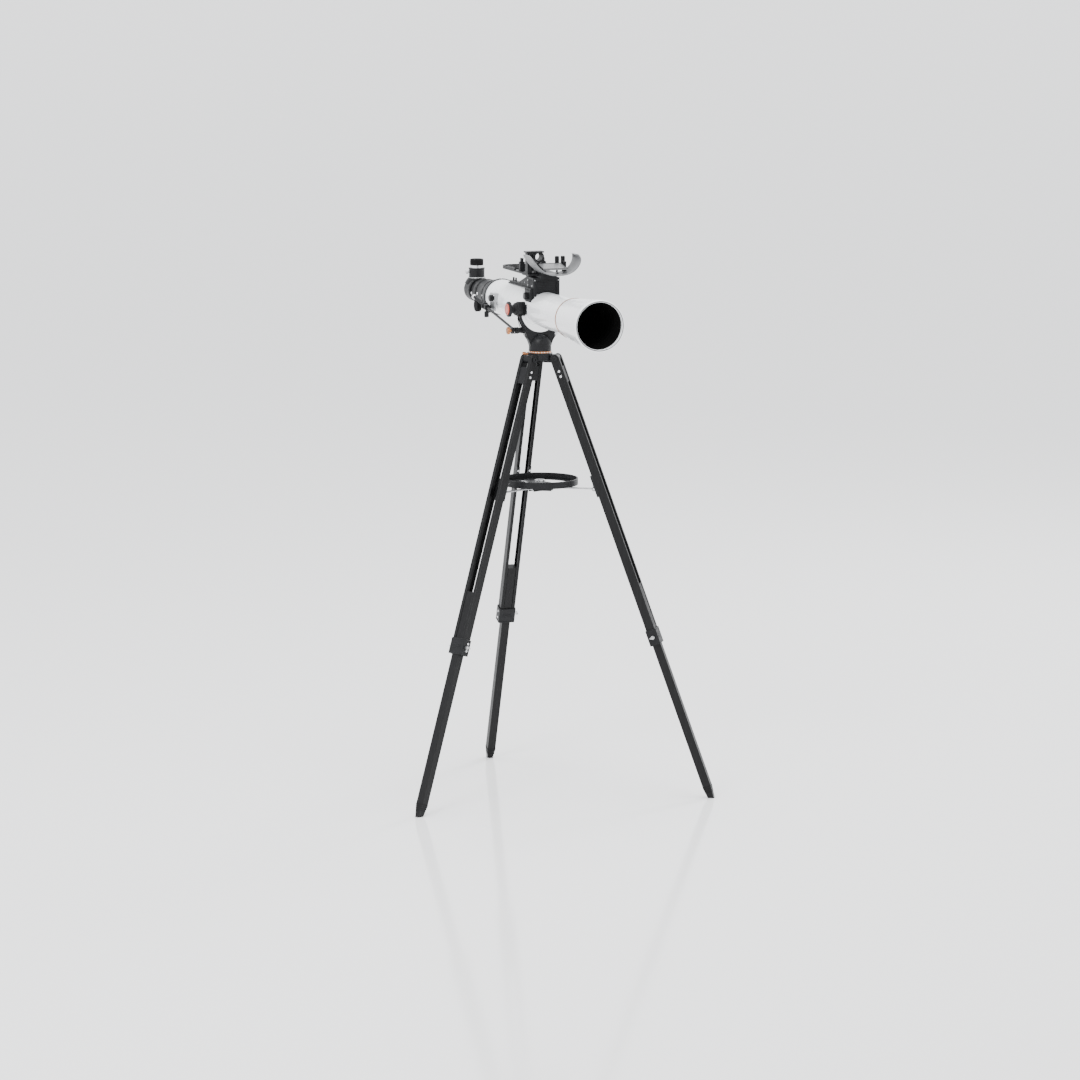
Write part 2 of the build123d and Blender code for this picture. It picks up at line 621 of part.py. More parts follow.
def rod_clamp():
    """Swivelling clamp on the yoke arm; its slot leaves the rod free to swing."""
    seat = -ROD_CLAMP_SEAT - GAP
    body = rod_x(6.6, -58, seat, ROD_CLAMP_Y, ROD_CLAMP_Z)
    body += rod_x(7.8, -71, -54, ROD_CLAMP_Y, ROD_CLAMP_Z)
    body += rod_x(4.0, seat - 1, -29, ROD_CLAMP_Y, ROD_CLAMP_Z)
    slot = Pos(0, ROD_SWING_OFFSET, 0) * Box(2 * ROD_R + 0.8, 2 * ROD_R + ROD_SWING, 40)
    return body - on_rod(fillet(slot.edges().filter_by(Axis.Z), 2.0))


def rod_lock_knob():
    screw = rod_x(2.5, -78, -71.2, ROD_CLAMP_Y, ROD_CLAMP_Z)
    boss = rod_x(4.6, -76, -73, ROD_CLAMP_Y, ROD_CLAMP_Z)
    return screw + boss + knob_x(lobed_knob(9.0, 6.5, 8, 1.4), -75.5, ROD_CLAMP_Y, ROD_CLAMP_Z, -1)


# ---- optical tube ------------------------------------------------------------------
def main_tube():
    tube = rod_y(TUBE_R, TUBE_FRONT - 20, TUBE_REAR, 0, ALTITUDE_Z)
    return tube - rod_y(TUBE_R - TUBE_WALL, TUBE_FRONT - 30, TUBE_REAR + 10, 0, ALTITUDE_Z)


def accent_ring():
    ring = rod_y(SHIELD_ROOT_R + 0.6, TUBE_FRONT - 5, TUBE_FRONT, 0, ALTITUDE_Z)
    ring = fillet(ring.edges().filter_by(GeomType.CIRCLE), 0.8)
    return ring - rod_y(TUBE_R, TUBE_FRONT - 20, TUBE_FRONT + 20, 0, ALTITUDE_Z)


def dew_shield():
    """Flared cone, 2 mm thick, with a rolled front lip."""
    root = TUBE_FRONT - 5
    front = SHIELD_FRONT
    lip = SHIELD_R - 5.5
    return turned_y([
        (root, TUBE_R), (root, SHIELD_ROOT_R), (front + 9, SHIELD_R), (front + 2, SHIELD_R),
        (front, SHIELD_R - 2), (front, lip + 1), (front + 1, lip), (front + 9, lip),
        (front + 9, SHIELD_R - 2.0), (root - 3, SHIELD_ROOT_R - 1.8), (root - 3, TUBE_R),
    ])


def shield_lining():
    """Thin black baffle sleeve inside the shield."""
    root = TUBE_FRONT - 8
    front = SHIELD_FRONT + 9
    lip = SHIELD_R - 5.5
    return turned_y([(root, TUBE_R), (root, TUBE_R + 1.2), (front, lip + 1.2), (front, lip)])


def lens_cell():
    front = TUBE_FRONT - 29
    cell = rod_y(TUBE_R - TUBE_WALL, front, front + 28, 0, ALTITUDE_Z)
    cell += rod_y(TUBE_R - 0.2, front, front + 9, 0, ALTITUDE_Z)
    return cell - rod_y(LENS_R, front - 8, front + 32, 0, ALTITUDE_Z)


def objective_lens():
    """Biconvex achromat, 78 mm clear."""
    front_y = TUBE_FRONT - 20.5
    rear_y = TUBE_FRONT - 7.5
    radius = 240.0
    blank = rod_y(LENS_R, front_y + 0.5, rear_y - 0.5, 0, ALTITUDE_Z)
    front = Pos(0, front_y + radius, ALTITUDE_Z) * Sphere(radius)
    rear = Pos(0, rear_y - radius, ALTITUDE_Z) * Sphere(radius)
    return blank & front & rear


def trunnions():
    """Cast pads on both sides of the tube with the altitude pins."""
    solids = []
    for side in (-1, 1):
        pad = block(34, 45.5, -29, 29, ALTITUDE_Z - 12, ALTITUDE_Z + 12)
        pad = fillet(pad.edges().filter_by(Axis.X), 9)
        pad += rod_x(YOKE_BOSS_R, 36, 48.0, 0, ALTITUDE_Z)
        pad -= rod_y(TUBE_R, -60, 60, 0, ALTITUDE_Z)
        pad += rod_x(TRUNNION_R, 45, 76, 0, ALTITUDE_Z)
        solids.append(pad if side > 0 else mirror(pad, about=Plane.YZ))
    return solids


def focuser_body():
    """Stepped hollow housing behind the tube, with the pinion box below it."""
    bore = DRAW_R + RUN_FIT
    inside = TUBE_R - TUBE_WALL
    housing = turned_y([
        (TUBE_REAR - 14, inside - 3), (TUBE_REAR - 14, inside), (TUBE_REAR, inside), (TUBE_REAR, 44.5),
        (TUBE_REAR + 10, 44.5), (TUBE_REAR + 12, 42.5), (328, 38.5), (330, 36.5), (364, 35.0), (366, 33.5),
        (410, 32.5), (412, 30.5), (432, 30.5), (432, bore), (382, bore), (382, 29.0),
        (330, 32.0), (TUBE_REAR + 8, inside - 3),
    ])
    box = block(-21, 21, FOCUS_SHAFT_Y - 14, FOCUS_SHAFT_Y + 14, 1137.5, 1158.5)
    box = fillet(box.edges().filter_by(Axis.X), 4.0)
    box -= rod_y(31.0, 200, 500, 0, ALTITUDE_Z)
    housing += box
    housing -= rod_x(6.4, -12, 12, FOCUS_SHAFT_Y, FOCUS_SHAFT_Z)
    return housing - rod_x(3.0 + RUN_FIT, -60, 60, FOCUS_SHAFT_Y, FOCUS_SHAFT_Z)


def focus_knobs():
    """Shaft with its pinion and a milled knob at each end."""
    shaft = rod_x(3.0, -50, 50, FOCUS_SHAFT_Y, FOCUS_SHAFT_Z)
    shaft += rod_x(5.6, -11, 11, FOCUS_SHAFT_Y, FOCUS_SHAFT_Z)
    for side in (-1, 1):
        knob = lobed_knob(15.0, 12, 24, 0.8) + rod_z(7.5, -3, 0.5, 0, 0)
        shaft += knob_x(knob, 40.0 * side, FOCUS_SHAFT_Y, FOCUS_SHAFT_Z, side)
    return shaft


def draw_tube():
    front = DRAW_END - 146
    tube = rod_y(DRAW_R, front, DRAW_END - 2, 0, ALTITUDE_Z)
    tube += rod_y(24, DRAW_END - 10, DRAW_END, 0, ALTITUDE_Z)
    return tube - rod_y(DRAW_R - DRAW_WALL, front - 6, DRAW_END + 14, 0, ALTITUDE_Z)


def diagonal_body():
    """Mirror diagonal: a round rear housing with an upright eyepiece socket."""
    inner = DRAW_R - DRAW_WALL - RUN_FIT
    barrel = rod_y(DIAGONAL_R, DRAW_END + 8, DIAGONAL_Y + 17, 0, ALTITUDE_Z)
    barrel = fillet(barrel.edges().group_by(Axis.Y)[-1], 7.0)
    barrel += rod_y(26, DRAW_END + GAP, DRAW_END + 10, 0, ALTITUDE_Z)
    barrel += rod_y(inner, DRAW_END - 14, DRAW_END + 4, 0, ALTITUDE_Z)
    socket = rod_z(19.5, ALTITUDE_Z + 10, 1234, 0, DIAGONAL_Y)
    socket += turned_z([(1196, 0), (1196, 30), (1204, 25.5), (1211, 19.5), (1211, 0)], 0, DIAGONAL_Y) & (
        block(-40, 40, DRAW_END + 8, DIAGONAL_Y + 17, 1190, 1212)
    )
    body = barrel + socket
    body -= rod_y(14.5, DRAW_END - 20, DIAGONAL_Y, 0, ALTITUDE_Z)
    mirror_cut = Pos(0, DIAGONAL_Y, ALTITUDE_Z) * Rot(45, 0, 0) * Box(29, 34, 60)
    body -= mirror_cut & block(-14.5, 14.5, DIAGONAL_Y - 22, DIAGONAL_Y + 12, 1166, 1205)
    return body - rod_z(BARREL_R + RUN_FIT, ALTITUDE_Z + 2, 1240, 0, DIAGONAL_Y)


def diagonal_screw():
    """Thumbscrew that holds the eyepiece in its socket."""
    z = 1224.0
    screw = rod_x(2.0, -23, -19.9, DIAGONAL_Y, z)
    return screw + knob_x(lobed_knob(4.6, 7, 8, 0.5), -22.5, DIAGONAL_Y, z, -1)


def eyepiece_barrel():
    barrel = rod_z(BARREL_R, 1206, 1243, 0, DIAGONAL_Y)
    return barrel - rod_z(BARREL_R - 1.4, 1200, 1250, 0, DIAGONAL_Y)


def eyepiece_body():
    """Eyepiece head with a rubber eye cup recess."""
    body = rod_z(16.5, 1240.4, 1256, 0, DIAGONAL_Y)
    body = fillet(body.edges().group_by(Axis.Z)[-1], 1.4)
    body -= rod_z(BARREL_R, 1239, 1243, 0, DIAGONAL_Y)
    body -= rod_z(BARREL_R - 1.4, 1239, 1246, 0, DIAGONAL_Y)
    return body - turned_z([(1245, 0), (1245, 7.5), (1257, 12.5), (1257, 0)], 0, DIAGONAL_Y)


def eyepiece_lens():
    return rod_z(BARREL_R - 1.4, 1243, 1246, 0, DIAGONAL_Y)


# ---- finder dock ----------------------------------------------------------------------
def dock_rail():
    """Rail along the top of the tube with two locating pins."""
    top = ALTITUDE_Z + TUBE_R
    rail_bar = block(-7, 7, 0.5, RAIL_REAR, top - 4, top + 6)
    rail_bar += block(-10, 10, 0.5, RAIL_REAR, top - 4, top + 2)
    rail_bar -= rod_y(TUBE_R, -60, 300, 0, ALTITUDE_Z)
    for distance in (12, 30):
        rail_bar += rod_z(2.2, top + 5, top + 14, 0, RAIL_REAR - distance)
    gusset = make_face(Polyline(
        (0, 0.5, 1226), (0, 156, 1226), (0, 58, 1257.6), (0, 35, 1257.6), (0, 35, 1249.5), (0, 0.5, 1249.5),
        close=True,
    ))
    return rail_bar + extrude(gusset, amount=6, both=True)


def dock_base():
    """Upright box on a saddle that wraps the upper half of the tube."""
    box = block(-DOCK_HALF, DOCK_HALF, DOCK_FRONT, DOCK_REAR, 1204, DOCK_TOP)
    box = fillet(box.edges().filter_by(Axis.Z), 3.5)
    panel = block(-DOCK_HALF + 8, DOCK_HALF - 8, DOCK_FRONT - 1, DOCK_FRONT + 1.6, 1222, DOCK_TOP - 7)
    box -= fillet(panel.edges().filter_by(Axis.Y), 2.0)
    for x in (-22, 22):
        box -= rod_y(3.6, DOCK_FRONT - 1, DOCK_FRONT + 5, x, 1217)
    lobe = block(-DOCK_HALF - 7, -DOCK_HALF + 6, DOCK_FRONT + 5, DOCK_REAR - 5, 1198, 1233)
    box += fillet(lobe.edges().filter_by(Axis.Y), 5.0)
    return box - rod_y(TUBE_R, -100, 100, 0, ALTITUDE_Z)


def dock_knob():
    """Side knob that clamps the dock."""
    return knob_x(lobed_knob(9.0, 8, 8, 1.2), -DOCK_HALF - 7, -23, 1213, -1)


def tilt_block():
    """Stepped block under the phone tray, with an arm that holds the hood."""
    low = block(-16, 16, -30, 52, DOCK_TOP, TRAY_PLATE_Z)
    low += block(-24, 24, DOCK_REAR, 34, 1250, DOCK_TOP)
    arm = block(-20, 20, -66, -43, DOCK_TOP, 1285) + block(-20, 20, -44, -28, DOCK_TOP, TRAY_PLATE_Z)
    return low + (arm - hood_inside(-0.05, -80, -40))


def phone_tray():
    """Tray plate with rounded corners and a raised edge."""
    plate = block(-38, 38, 2, TRAY_END, TRAY_PLATE_Z, TRAY_PLATE_Z + 4)
    plate = fillet(plate.edges().filter_by(Axis.Z), 26)
    rim = plate & block(-50, 50, 80, TRAY_END + 2, TRAY_PLATE_Z, TRAY_PLATE_Z + 4)
    rim = Pos(0, 0, 4) * rim
    inside = fillet(block(-34, 34, -20, TRAY_END - 4, 1260, 1275).edges().filter_by(Axis.Z), 22)
    plate += block(-38, 38, 2, 60, TRAY_PLATE_Z, TRAY_PLATE_Z + 4)
    plate += rim - inside
    plate += block(-44, 54, -43, 4, TRAY_PLATE_Z, TRAY_PLATE_Z + 4)
    for x in ADJUSTER_X:
        plate -= rod_z(2.4 + RUN_FIT, 1250, 1270, x, ADJUSTER_Y)
    return plate


def phone_pad():
    """Soft pad that the phone lies on."""
    pad = block(-27, 27, 104, 176, TRAY_PLATE_Z + 4, TRAY_PLATE_Z + 7)
    return fillet(pad.edges().filter_by(Axis.Z), 14)


def tray_clamp():
    """Sliding jaw that grips a phone's end, on two posts."""
    low = TRAY_PLATE_Z + 4.4
    base = block(-32, 32, CLAMP_Y, CLAMP_Y + 10, low, TRAY_PLATE_Z + 9)
    for side in (-1, 1):
        post = block(-6, 6, CLAMP_Y - 1, CLAMP_Y + 10, low, 1288)
        post += block(-3, 3, CLAMP_Y, CLAMP_Y + 9, low, 1297)
        base += Pos(27 * side, 0, 0) * post
    return base + block(-14, 14, CLAMP_Y + 2, CLAMP_Y + 8, low, 1286)


def sight_frame():
    """Upright posts, a flat top bar and the sight tube between them."""
    low = TRAY_PLATE_Z + 4
    base = block(SIGHT_X - 28, SIGHT_X + 14, -34, -6, low, low + 4)
    posts = block(SIGHT_X - 27, SIGHT_X - 21, -30, -12, low, 1318)
    posts += block(SIGHT_X - 18, SIGHT_X - 15, -27, -15, low, 1318)
    bar = block(SIGHT_X - 30, SIGHT_X + 14, -32, -10, 1316.5, 1320)
    ring = rod_y(13, -36, -8, SIGHT_X, SIGHT_Z) - rod_y(9.2, -40, 0, SIGHT_X, SIGHT_Z)
    neck = block(SIGHT_X - 5, SIGHT_X + 5, -30, -12, low, SIGHT_Z - 11)
    return base + posts + bar + ring + neck


def hood_edge(inset):
    """Section line of the trough across X: a shallow left flank, a rounder right one."""
    outline = [
        (-66, 1322), (-40, 1286), (-20, 1272), (10, 1267.5),
        (36, 1271), (56, 1284), (65, 1300), (62, 1318),
    ]
    edge = Spline(*[(x, 0, z) for x, z in outline])
    if inset == 0:
        return edge
    points = []
    for index in range(13):
        slope = edge.tangent_at(index / 12)
        points.append(edge.position_at(index / 12) + Vector(-slope.Z, 0, slope.X) * inset)
    return Spline(*points)


def hood_inside(inset, y0, y1):
    """The space above the trough's section line, to fit what touches the trough."""
    edge = hood_edge(inset)
    face = make_face([edge, Line(edge @ 1, edge @ 0)])
    return Pos(0, y1, 0) * extrude(face, amount=y1 - y0, dir=(0, -1, 0))


def mirror_hood():
    """Translucent trough round the pick-up mirror, its free corners rounded."""
    shell = hood_inside(0, HOOD_FRONT, HOOD_REAR) - hood_inside(HOOD_WALL, HOOD_FRONT - 1, HOOD_REAR + 1)
    keep = block(-90, 90, HOOD_FRONT, HOOD_REAR, 1200, 1317)
    return shell & fillet(keep.edges().filter_by(Axis.X).group_by(Axis.Z)[-1], 14)


def pick_up_mirror():
    """Tilted mirror plate inside the hood."""
    plate = Box(62, 50, 3) + Pos(0, 14, 0) * Rot(0, 90, 0) * Cylinder(1.2, 65)
    return Pos(MIRROR_X, -78, 1287) * Rot(10.5, 0, 0) * plate


def mirror_stand():
    """Two cheeks that carry the mirror's pivot."""
    seat = hood_inside(HOOD_WALL + 0.05, -90, -40)
    cheeks = []
    for side in (-1, 1):
        middle = MIRROR_X + 34.75 * side
        cheeks.append(block(middle - 2.25, middle + 2.25, -74, -54, 1266, 1298) & seat)
    return cheeks


def adjust_knob(x):
    """Upright milled screw that tips the pick-up mirror."""
    knob = Pos(x, ADJUSTER_Y, 1291) * lobed_knob(5.2, 17, 10, 0.5)
    return knob + rod_z(2.4, TRAY_PLATE_Z - 2, 1292, x, ADJUSTER_Y)


# ---- write the parts ------------------------------------------------------------------
def make_mount():
    save("tray", tray(), tray_hub())
    save("tray_fasteners", tray_knob(), *hub_pins())
    save("tripod_head", tripod_head())
    save("hinge_pins", *hinge_pins())
    save("azimuth_ring", azimuth_ring())
    save("azimuth_lock", azimuth_lock())
    save("yoke", yoke())
    save("yoke_screws", *yoke_screws())
    for name, side in (("left", -1), ("right", 1)):
        save(f"altitude_knob_{name}", altitude_knob(side))
        save(f"knob_cap_{name}", knob_cap(side))


def make_slow_motion():
    save("slow_rod", slow_rod(), swivel_block())
    save("rod_cap", rod_cap())
    save("rod_wheel", rod_wheel())
    save("swivel_knob", swivel_knob())
    save("rod_bracket", rod_bracket())
    save("bracket_knob", bracket_knob())
    save("rod_clamp", rod_clamp())
    save("rod_lock_knob", rod_lock_knob())


def make_tube():
    save("main_tube", main_tube())
    save("accent_ring", accent_ring())
    save("dew_shield", dew_shield())
    save("lens_cell", lens_cell(), shield_lining())
    save("objective_lens", objective_lens())
    save("trunnions", *trunnions())
    save("focuser_body", focuser_body())
    save("focus_knobs", focus_knobs())
    save("draw_tube", draw_tube())
    save("diagonal_body", diagonal_body())
    save("diagonal_screw", diagonal_screw())
    save("eyepiece_barrel", eyepiece_barrel(), eyepiece_lens())
    save("eyepiece_body", eyepiece_body())


def make_dock():
    save("dock_base", dock_base(), dock_rail())
    save("dock_knob", dock_knob())
    save("phone_tray", phone_tray(), phone_pad(), tilt_block())
    save("tray_clamp", tray_clamp())
    save("sight_frame", sight_frame(), *mirror_stand())
    save("mirror_hood", mirror_hood())
    save("pick_up_mirror", pick_up_mirror())
    save("adjust_knob_left", adjust_knob(ADJUSTER_X[0]))
    save("adjust_knob_right", adjust_knob(ADJUSTER_X[1]))


os.makedirs("parts", exist_ok=True)
make_legs()
make_mount()
make_slow_motion()
make_tube()
make_dock()
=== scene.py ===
import json
import math

import bmesh
import bpy
from mathutils import Matrix, Vector


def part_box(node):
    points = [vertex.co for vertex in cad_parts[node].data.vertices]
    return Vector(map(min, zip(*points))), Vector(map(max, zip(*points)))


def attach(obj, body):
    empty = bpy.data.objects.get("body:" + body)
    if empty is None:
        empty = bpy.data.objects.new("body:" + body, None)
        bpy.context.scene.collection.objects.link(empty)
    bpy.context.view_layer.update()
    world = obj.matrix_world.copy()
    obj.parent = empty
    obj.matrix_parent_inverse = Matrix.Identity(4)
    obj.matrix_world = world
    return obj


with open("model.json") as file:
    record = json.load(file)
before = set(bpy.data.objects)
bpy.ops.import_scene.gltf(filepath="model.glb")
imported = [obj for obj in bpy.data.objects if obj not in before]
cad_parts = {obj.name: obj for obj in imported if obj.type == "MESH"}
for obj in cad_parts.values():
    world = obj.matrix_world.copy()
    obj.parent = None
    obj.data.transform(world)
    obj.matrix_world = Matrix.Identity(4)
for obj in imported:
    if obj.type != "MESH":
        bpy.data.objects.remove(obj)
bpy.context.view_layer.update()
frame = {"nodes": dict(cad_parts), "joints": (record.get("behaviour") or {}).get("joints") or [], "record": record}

NODES = frame["nodes"]
JOINTS = {joint["name"]: joint for joint in frame["joints"]}
SLOT_OF = {part["node"]: part["material_slot"] for part in frame["record"]["subparts"]}
MM = 0.001

# ---- camera and studio ---------------------------------------------------------
VIEW_TURN = math.radians(18.89)     # the camera stands to the left of the tube's axis
VIEW_DOWN = math.radians(8.72)
CAMERA_DISTANCE = 11.365
CAMERA_HEIGHT = 2.360
LENS_MM = 158.4
SENSOR_WIDTH_MM = 36.0
FLOOR_GREY = 0.86
SKY_STRENGTH = 2.00
KEY_POWER = 215                     # watts
RIM_POWER = 150
TOP_POWER = 155


def add_camera():
    data = bpy.data.cameras.new("camera")
    data.lens = LENS_MM
    data.sensor_width = SENSOR_WIDTH_MM
    data.clip_end = 200.0
    camera = bpy.data.objects.new("camera", data)
    bpy.context.scene.collection.objects.link(camera)
    camera.location = (
        -CAMERA_DISTANCE * math.sin(VIEW_TURN),
        -CAMERA_DISTANCE * math.cos(VIEW_TURN),
        CAMERA_HEIGHT,
    )
    camera.rotation_euler = (math.pi / 2 - VIEW_DOWN, 0.0, -VIEW_TURN)
    bpy.context.scene.camera = camera


def add_area(name, location, target, size, power):
    data = bpy.data.lights.new(name, "AREA")
    data.shape = "RECTANGLE"
    data.size, data.size_y = size
    data.energy = power
    light = bpy.data.objects.new(name, data)
    bpy.context.scene.collection.objects.link(light)
    light.location = location
    aim = Vector(target) - Vector(location)
    light.rotation_euler = aim.to_track_quat("-Z", "Y").to_euler()


def add_floor():
    mesh = bpy.data.meshes.new("floor")
    mesh.from_pydata([(-60, -40, 0), (60, -40, 0), (60, 120, 0), (-60, 120, 0)], [], [(0, 1, 2, 3)])
    floor = bpy.data.objects.new("floor", mesh)
    bpy.context.scene.collection.objects.link(floor)
    material = bpy.data.materials.new("studio_floor")
    material.use_nodes = True
    shader = material.node_tree.nodes["Principled BSDF"]
    shader.inputs["Base Color"].default_value = (FLOOR_GREY, FLOOR_GREY, FLOOR_GREY, 1)
    shader.inputs["Roughness"].default_value = 0.10
    shader.inputs["Specular IOR Level"].default_value = 0.12
    mesh.materials.append(material)


def add_studio():
    world = bpy.data.worlds.new("studio")
    bpy.context.scene.world = world
    world.use_nodes = True
    background = world.node_tree.nodes["Background"]
    background.inputs["Color"].default_value = (0.97, 0.98, 1.0, 1)
    background.inputs["Strength"].default_value = SKY_STRENGTH
    add_area("key", (-3.4, -3.4, 4.4), (0, 0, 1.0), (1.8, 1.8), KEY_POWER)
    add_area("rim", (3.6, 2.6, 3.6), (0, 0, 0.9), (1.2, 2.4), RIM_POWER)
    add_area("top", (0.2, -0.4, 5.0), (0, 0, 0.9), (2.4, 2.4), TOP_POWER)
    add_floor()


# ---- materials --------------------------------------------------------------------
class Finish:
    """A node material: colour, roughness and fine relief that vary over the surface."""

    def __init__(self, name, metallic=0.0, specular=0.5, coat=0.0):
        self.material = bpy.data.materials.new(name)
        self.material.use_nodes = True
        self.tree = self.material.node_tree
        self.shader = self.tree.nodes["Principled BSDF"]
        self.shader.inputs["Metallic"].default_value = metallic
        self.shader.inputs["Specular IOR Level"].default_value = specular
        self.shader.inputs["Coat Weight"].default_value = coat
        self.place = self.tree.nodes.new("ShaderNodeTexCoord").outputs["Object"]

    def node(self, kind, **settings):
        node = self.tree.nodes.new(kind)
        for key, value in settings.items():
            setattr(node, key, value)
        return node

    def link(self, output, socket):
        self.tree.links.new(output, socket)

    def noise(self, scale, detail=4.0, stretch=(1, 1, 1)):
        mapping = self.node("ShaderNodeMapping")
        mapping.inputs["Scale"].default_value = stretch
        self.link(self.place, mapping.inputs["Vector"])
        noise = self.node("ShaderNodeTexNoise")
        noise.inputs["Scale"].default_value = scale
        noise.inputs["Detail"].default_value = detail
        self.link(mapping.outputs["Vector"], noise.inputs["Vector"])
        return noise.outputs["Fac"]

    def ramp(self, factor, stops):
        ramp = self.node("ShaderNodeValToRGB")
        while len(ramp.color_ramp.elements) < len(stops):
            ramp.color_ramp.elements.new(0.5)
        for element, (position, value) in zip(ramp.color_ramp.elements, stops):
            element.position = position
            element.color = (*value, 1) if hasattr(value, "__len__") else (value, value, value, 1)
        self.link(factor, ramp.inputs["Fac"])
        return ramp.outputs["Color"]

    def mix(self, factor, first, second):
        mix = self.node("ShaderNodeMix", data_type="RGBA")
        self.link(factor, mix.inputs["Factor"])
        for index, value in ((6, first), (7, second)):
            if hasattr(value, "__len__"):
                mix.inputs[index].default_value = (*value, 1)
            else:
                self.link(value, mix.inputs[index])
        return mix.outputs[2]

    def edges(self, radius):
        """Mask of the painted edge highlight: 1 on sharp edges, 0 on open faces, broken up by a noise."""
        bevel = self.node("ShaderNodeBevel", samples=4)
        bevel.inputs["Radius"].default_value = radius
        normal = self.node("ShaderNodeNewGeometry").outputs["Normal"]
        dot = self.node("ShaderNodeVectorMath", operation="DOT_PRODUCT")
        self.link(bevel.outputs["Normal"], dot.inputs[0])
        self.link(normal, dot.inputs[1])
        mask = self.ramp(dot.outputs["Value"], [(0.80, 1.0), (0.985, 0.0)])
        patches = self.ramp(self.noise(160, 3), [(0.36, 0.25), (0.66, 1.0)])
        both = self.node("ShaderNodeMath", operation="MULTIPLY")
        self.link(mask, both.inputs[0])
        self.link(patches, both.inputs[1])
        return both.outputs["Value"]

    def roughness(self, low, high, scale, stretch=(1, 1, 1)):
        values = self.ramp(self.noise(scale, 5, stretch), [(0.3, low), (0.7, high)])
        self.link(values, self.shader.inputs["Roughness"])

    def relief(self, scale, strength, distance, stretch=(1, 1, 1), detail=3.0):
        bump = self.node("ShaderNodeBump")
        bump.inputs["Strength"].default_value = strength
        bump.inputs["Distance"].default_value = distance
        self.link(self.noise(scale, detail, stretch), bump.inputs["Height"])
        self.link(bump.outputs["Normal"], self.shader.inputs["Normal"])

    def colour(self, dark, light, scale, stretch=(1, 1, 1), painted_edge_tone=None, edge=0.0006):
        colour = self.ramp(self.noise(scale, 5, stretch), [(0.32, dark), (0.70, light)])
        # Sharp edges are mixed towards the last colour given: a painted edge highlight standing in for light
        # caught by rounded edges.
        if painted_edge_tone is not None:
            colour = self.mix(self.edges(edge), colour, painted_edge_tone)
        self.link(colour, self.shader.inputs["Base Color"])
        return self


# The last colour given to each finish below is a painted edge highlight laid on its sharp edges (on mirror_silver
# it is darker: a painted edge shade).
def black_plastic():
    finish = Finish("black_plastic", specular=0.20)
    finish.colour((0.0045, 0.0047, 0.0054), (0.0080, 0.0083, 0.0093), 38, painted_edge_tone=(0.030, 0.031, 0.033))
    finish.roughness(0.34, 0.52, 120)
    finish.relief(2600, 0.30, 0.00012)
    return finish.material


def soft_black():
    finish = Finish("soft_black", specular=0.12)
    finish.colour((0.0035, 0.0035, 0.0035), (0.0070, 0.0070, 0.0075), 60, painted_edge_tone=(0.018, 0.018, 0.0185))
    finish.roughness(0.68, 0.86, 200)
    finish.relief(1700, 0.45, 0.0002)
    return finish.material


def anodised_black():
    finish = Finish("anodised_black", metallic=0.10, specular=0.18)
    drawn = (1, 1, 0.04)
    finish.colour(
        (0.0048, 0.0048, 0.0051), (0.0080, 0.0080, 0.0086), 240, drawn, painted_edge_tone=(0.055, 0.055, 0.057),
        edge=0.0009,
    )
    finish.roughness(0.33, 0.48, 420, drawn)
    finish.relief(900, 0.14, 0.00010, drawn)
    return finish.material


def gloss_white():
    finish = Finish("gloss_white", specular=0.45, coat=0.55)
    finish.shader.inputs["Coat Roughness"].default_value = 0.06
    finish.colour((0.80, 0.815, 0.83), (0.86, 0.87, 0.88), 9, painted_edge_tone=(0.90, 0.90, 0.90), edge=0.0004)
    finish.roughness(0.20, 0.30, 45)
    finish.relief(520, 0.05, 0.00008)
    return finish.material


def copper():
    finish = Finish("copper", metallic=1.0)
    turned = (1, 1, 7)
    finish.colour(
        (0.40, 0.155, 0.060), (0.62, 0.28, 0.135), 130, turned, painted_edge_tone=(0.80, 0.46, 0.29), edge=0.0005,
    )
    finish.roughness(0.20, 0.36, 300, turned)
    finish.relief(800, 0.12, 0.00008, turned)
    return finish.material


def coral():
    finish = Finish("coral", specular=0.5, coat=0.3)
    finish.colour((0.44, 0.060, 0.036), (0.56, 0.095, 0.062), 90, painted_edge_tone=(0.72, 0.25, 0.19), edge=0.0005)
    finish.roughness(0.24, 0.38, 180)
    finish.relief(1500, 0.10, 0.00008)
    return finish.material


def bright_screw():
    finish = Finish("bright_screw", metallic=1.0)
    finish.colour((0.62, 0.63, 0.64), (0.80, 0.80, 0.81), 160, painted_edge_tone=(0.92, 0.92, 0.92), edge=0.0004)
    finish.roughness(0.12, 0.26, 260)
    finish.relief(1300, 0.08, 0.00006)
    return finish.material


def grey_metal():
    finish = Finish("grey_metal", metallic=0.9)
    brushed = (1, 1, 0.12)
    finish.colour((0.34, 0.345, 0.35), (0.50, 0.505, 0.51), 210, brushed, painted_edge_tone=(0.74, 0.74, 0.74))
    finish.roughness(0.30, 0.46, 380, brushed)
    finish.relief(1000, 0.15, 0.00008, brushed)
    return finish.material


def inner_black():
    finish = Finish("inner_black", specular=0.05)
    finish.colour((0.0018, 0.0018, 0.0018), (0.0035, 0.0035, 0.0035), 150)
    finish.roughness(0.86, 0.97, 300)
    finish.relief(2200, 0.5, 0.0002)
    return finish.material


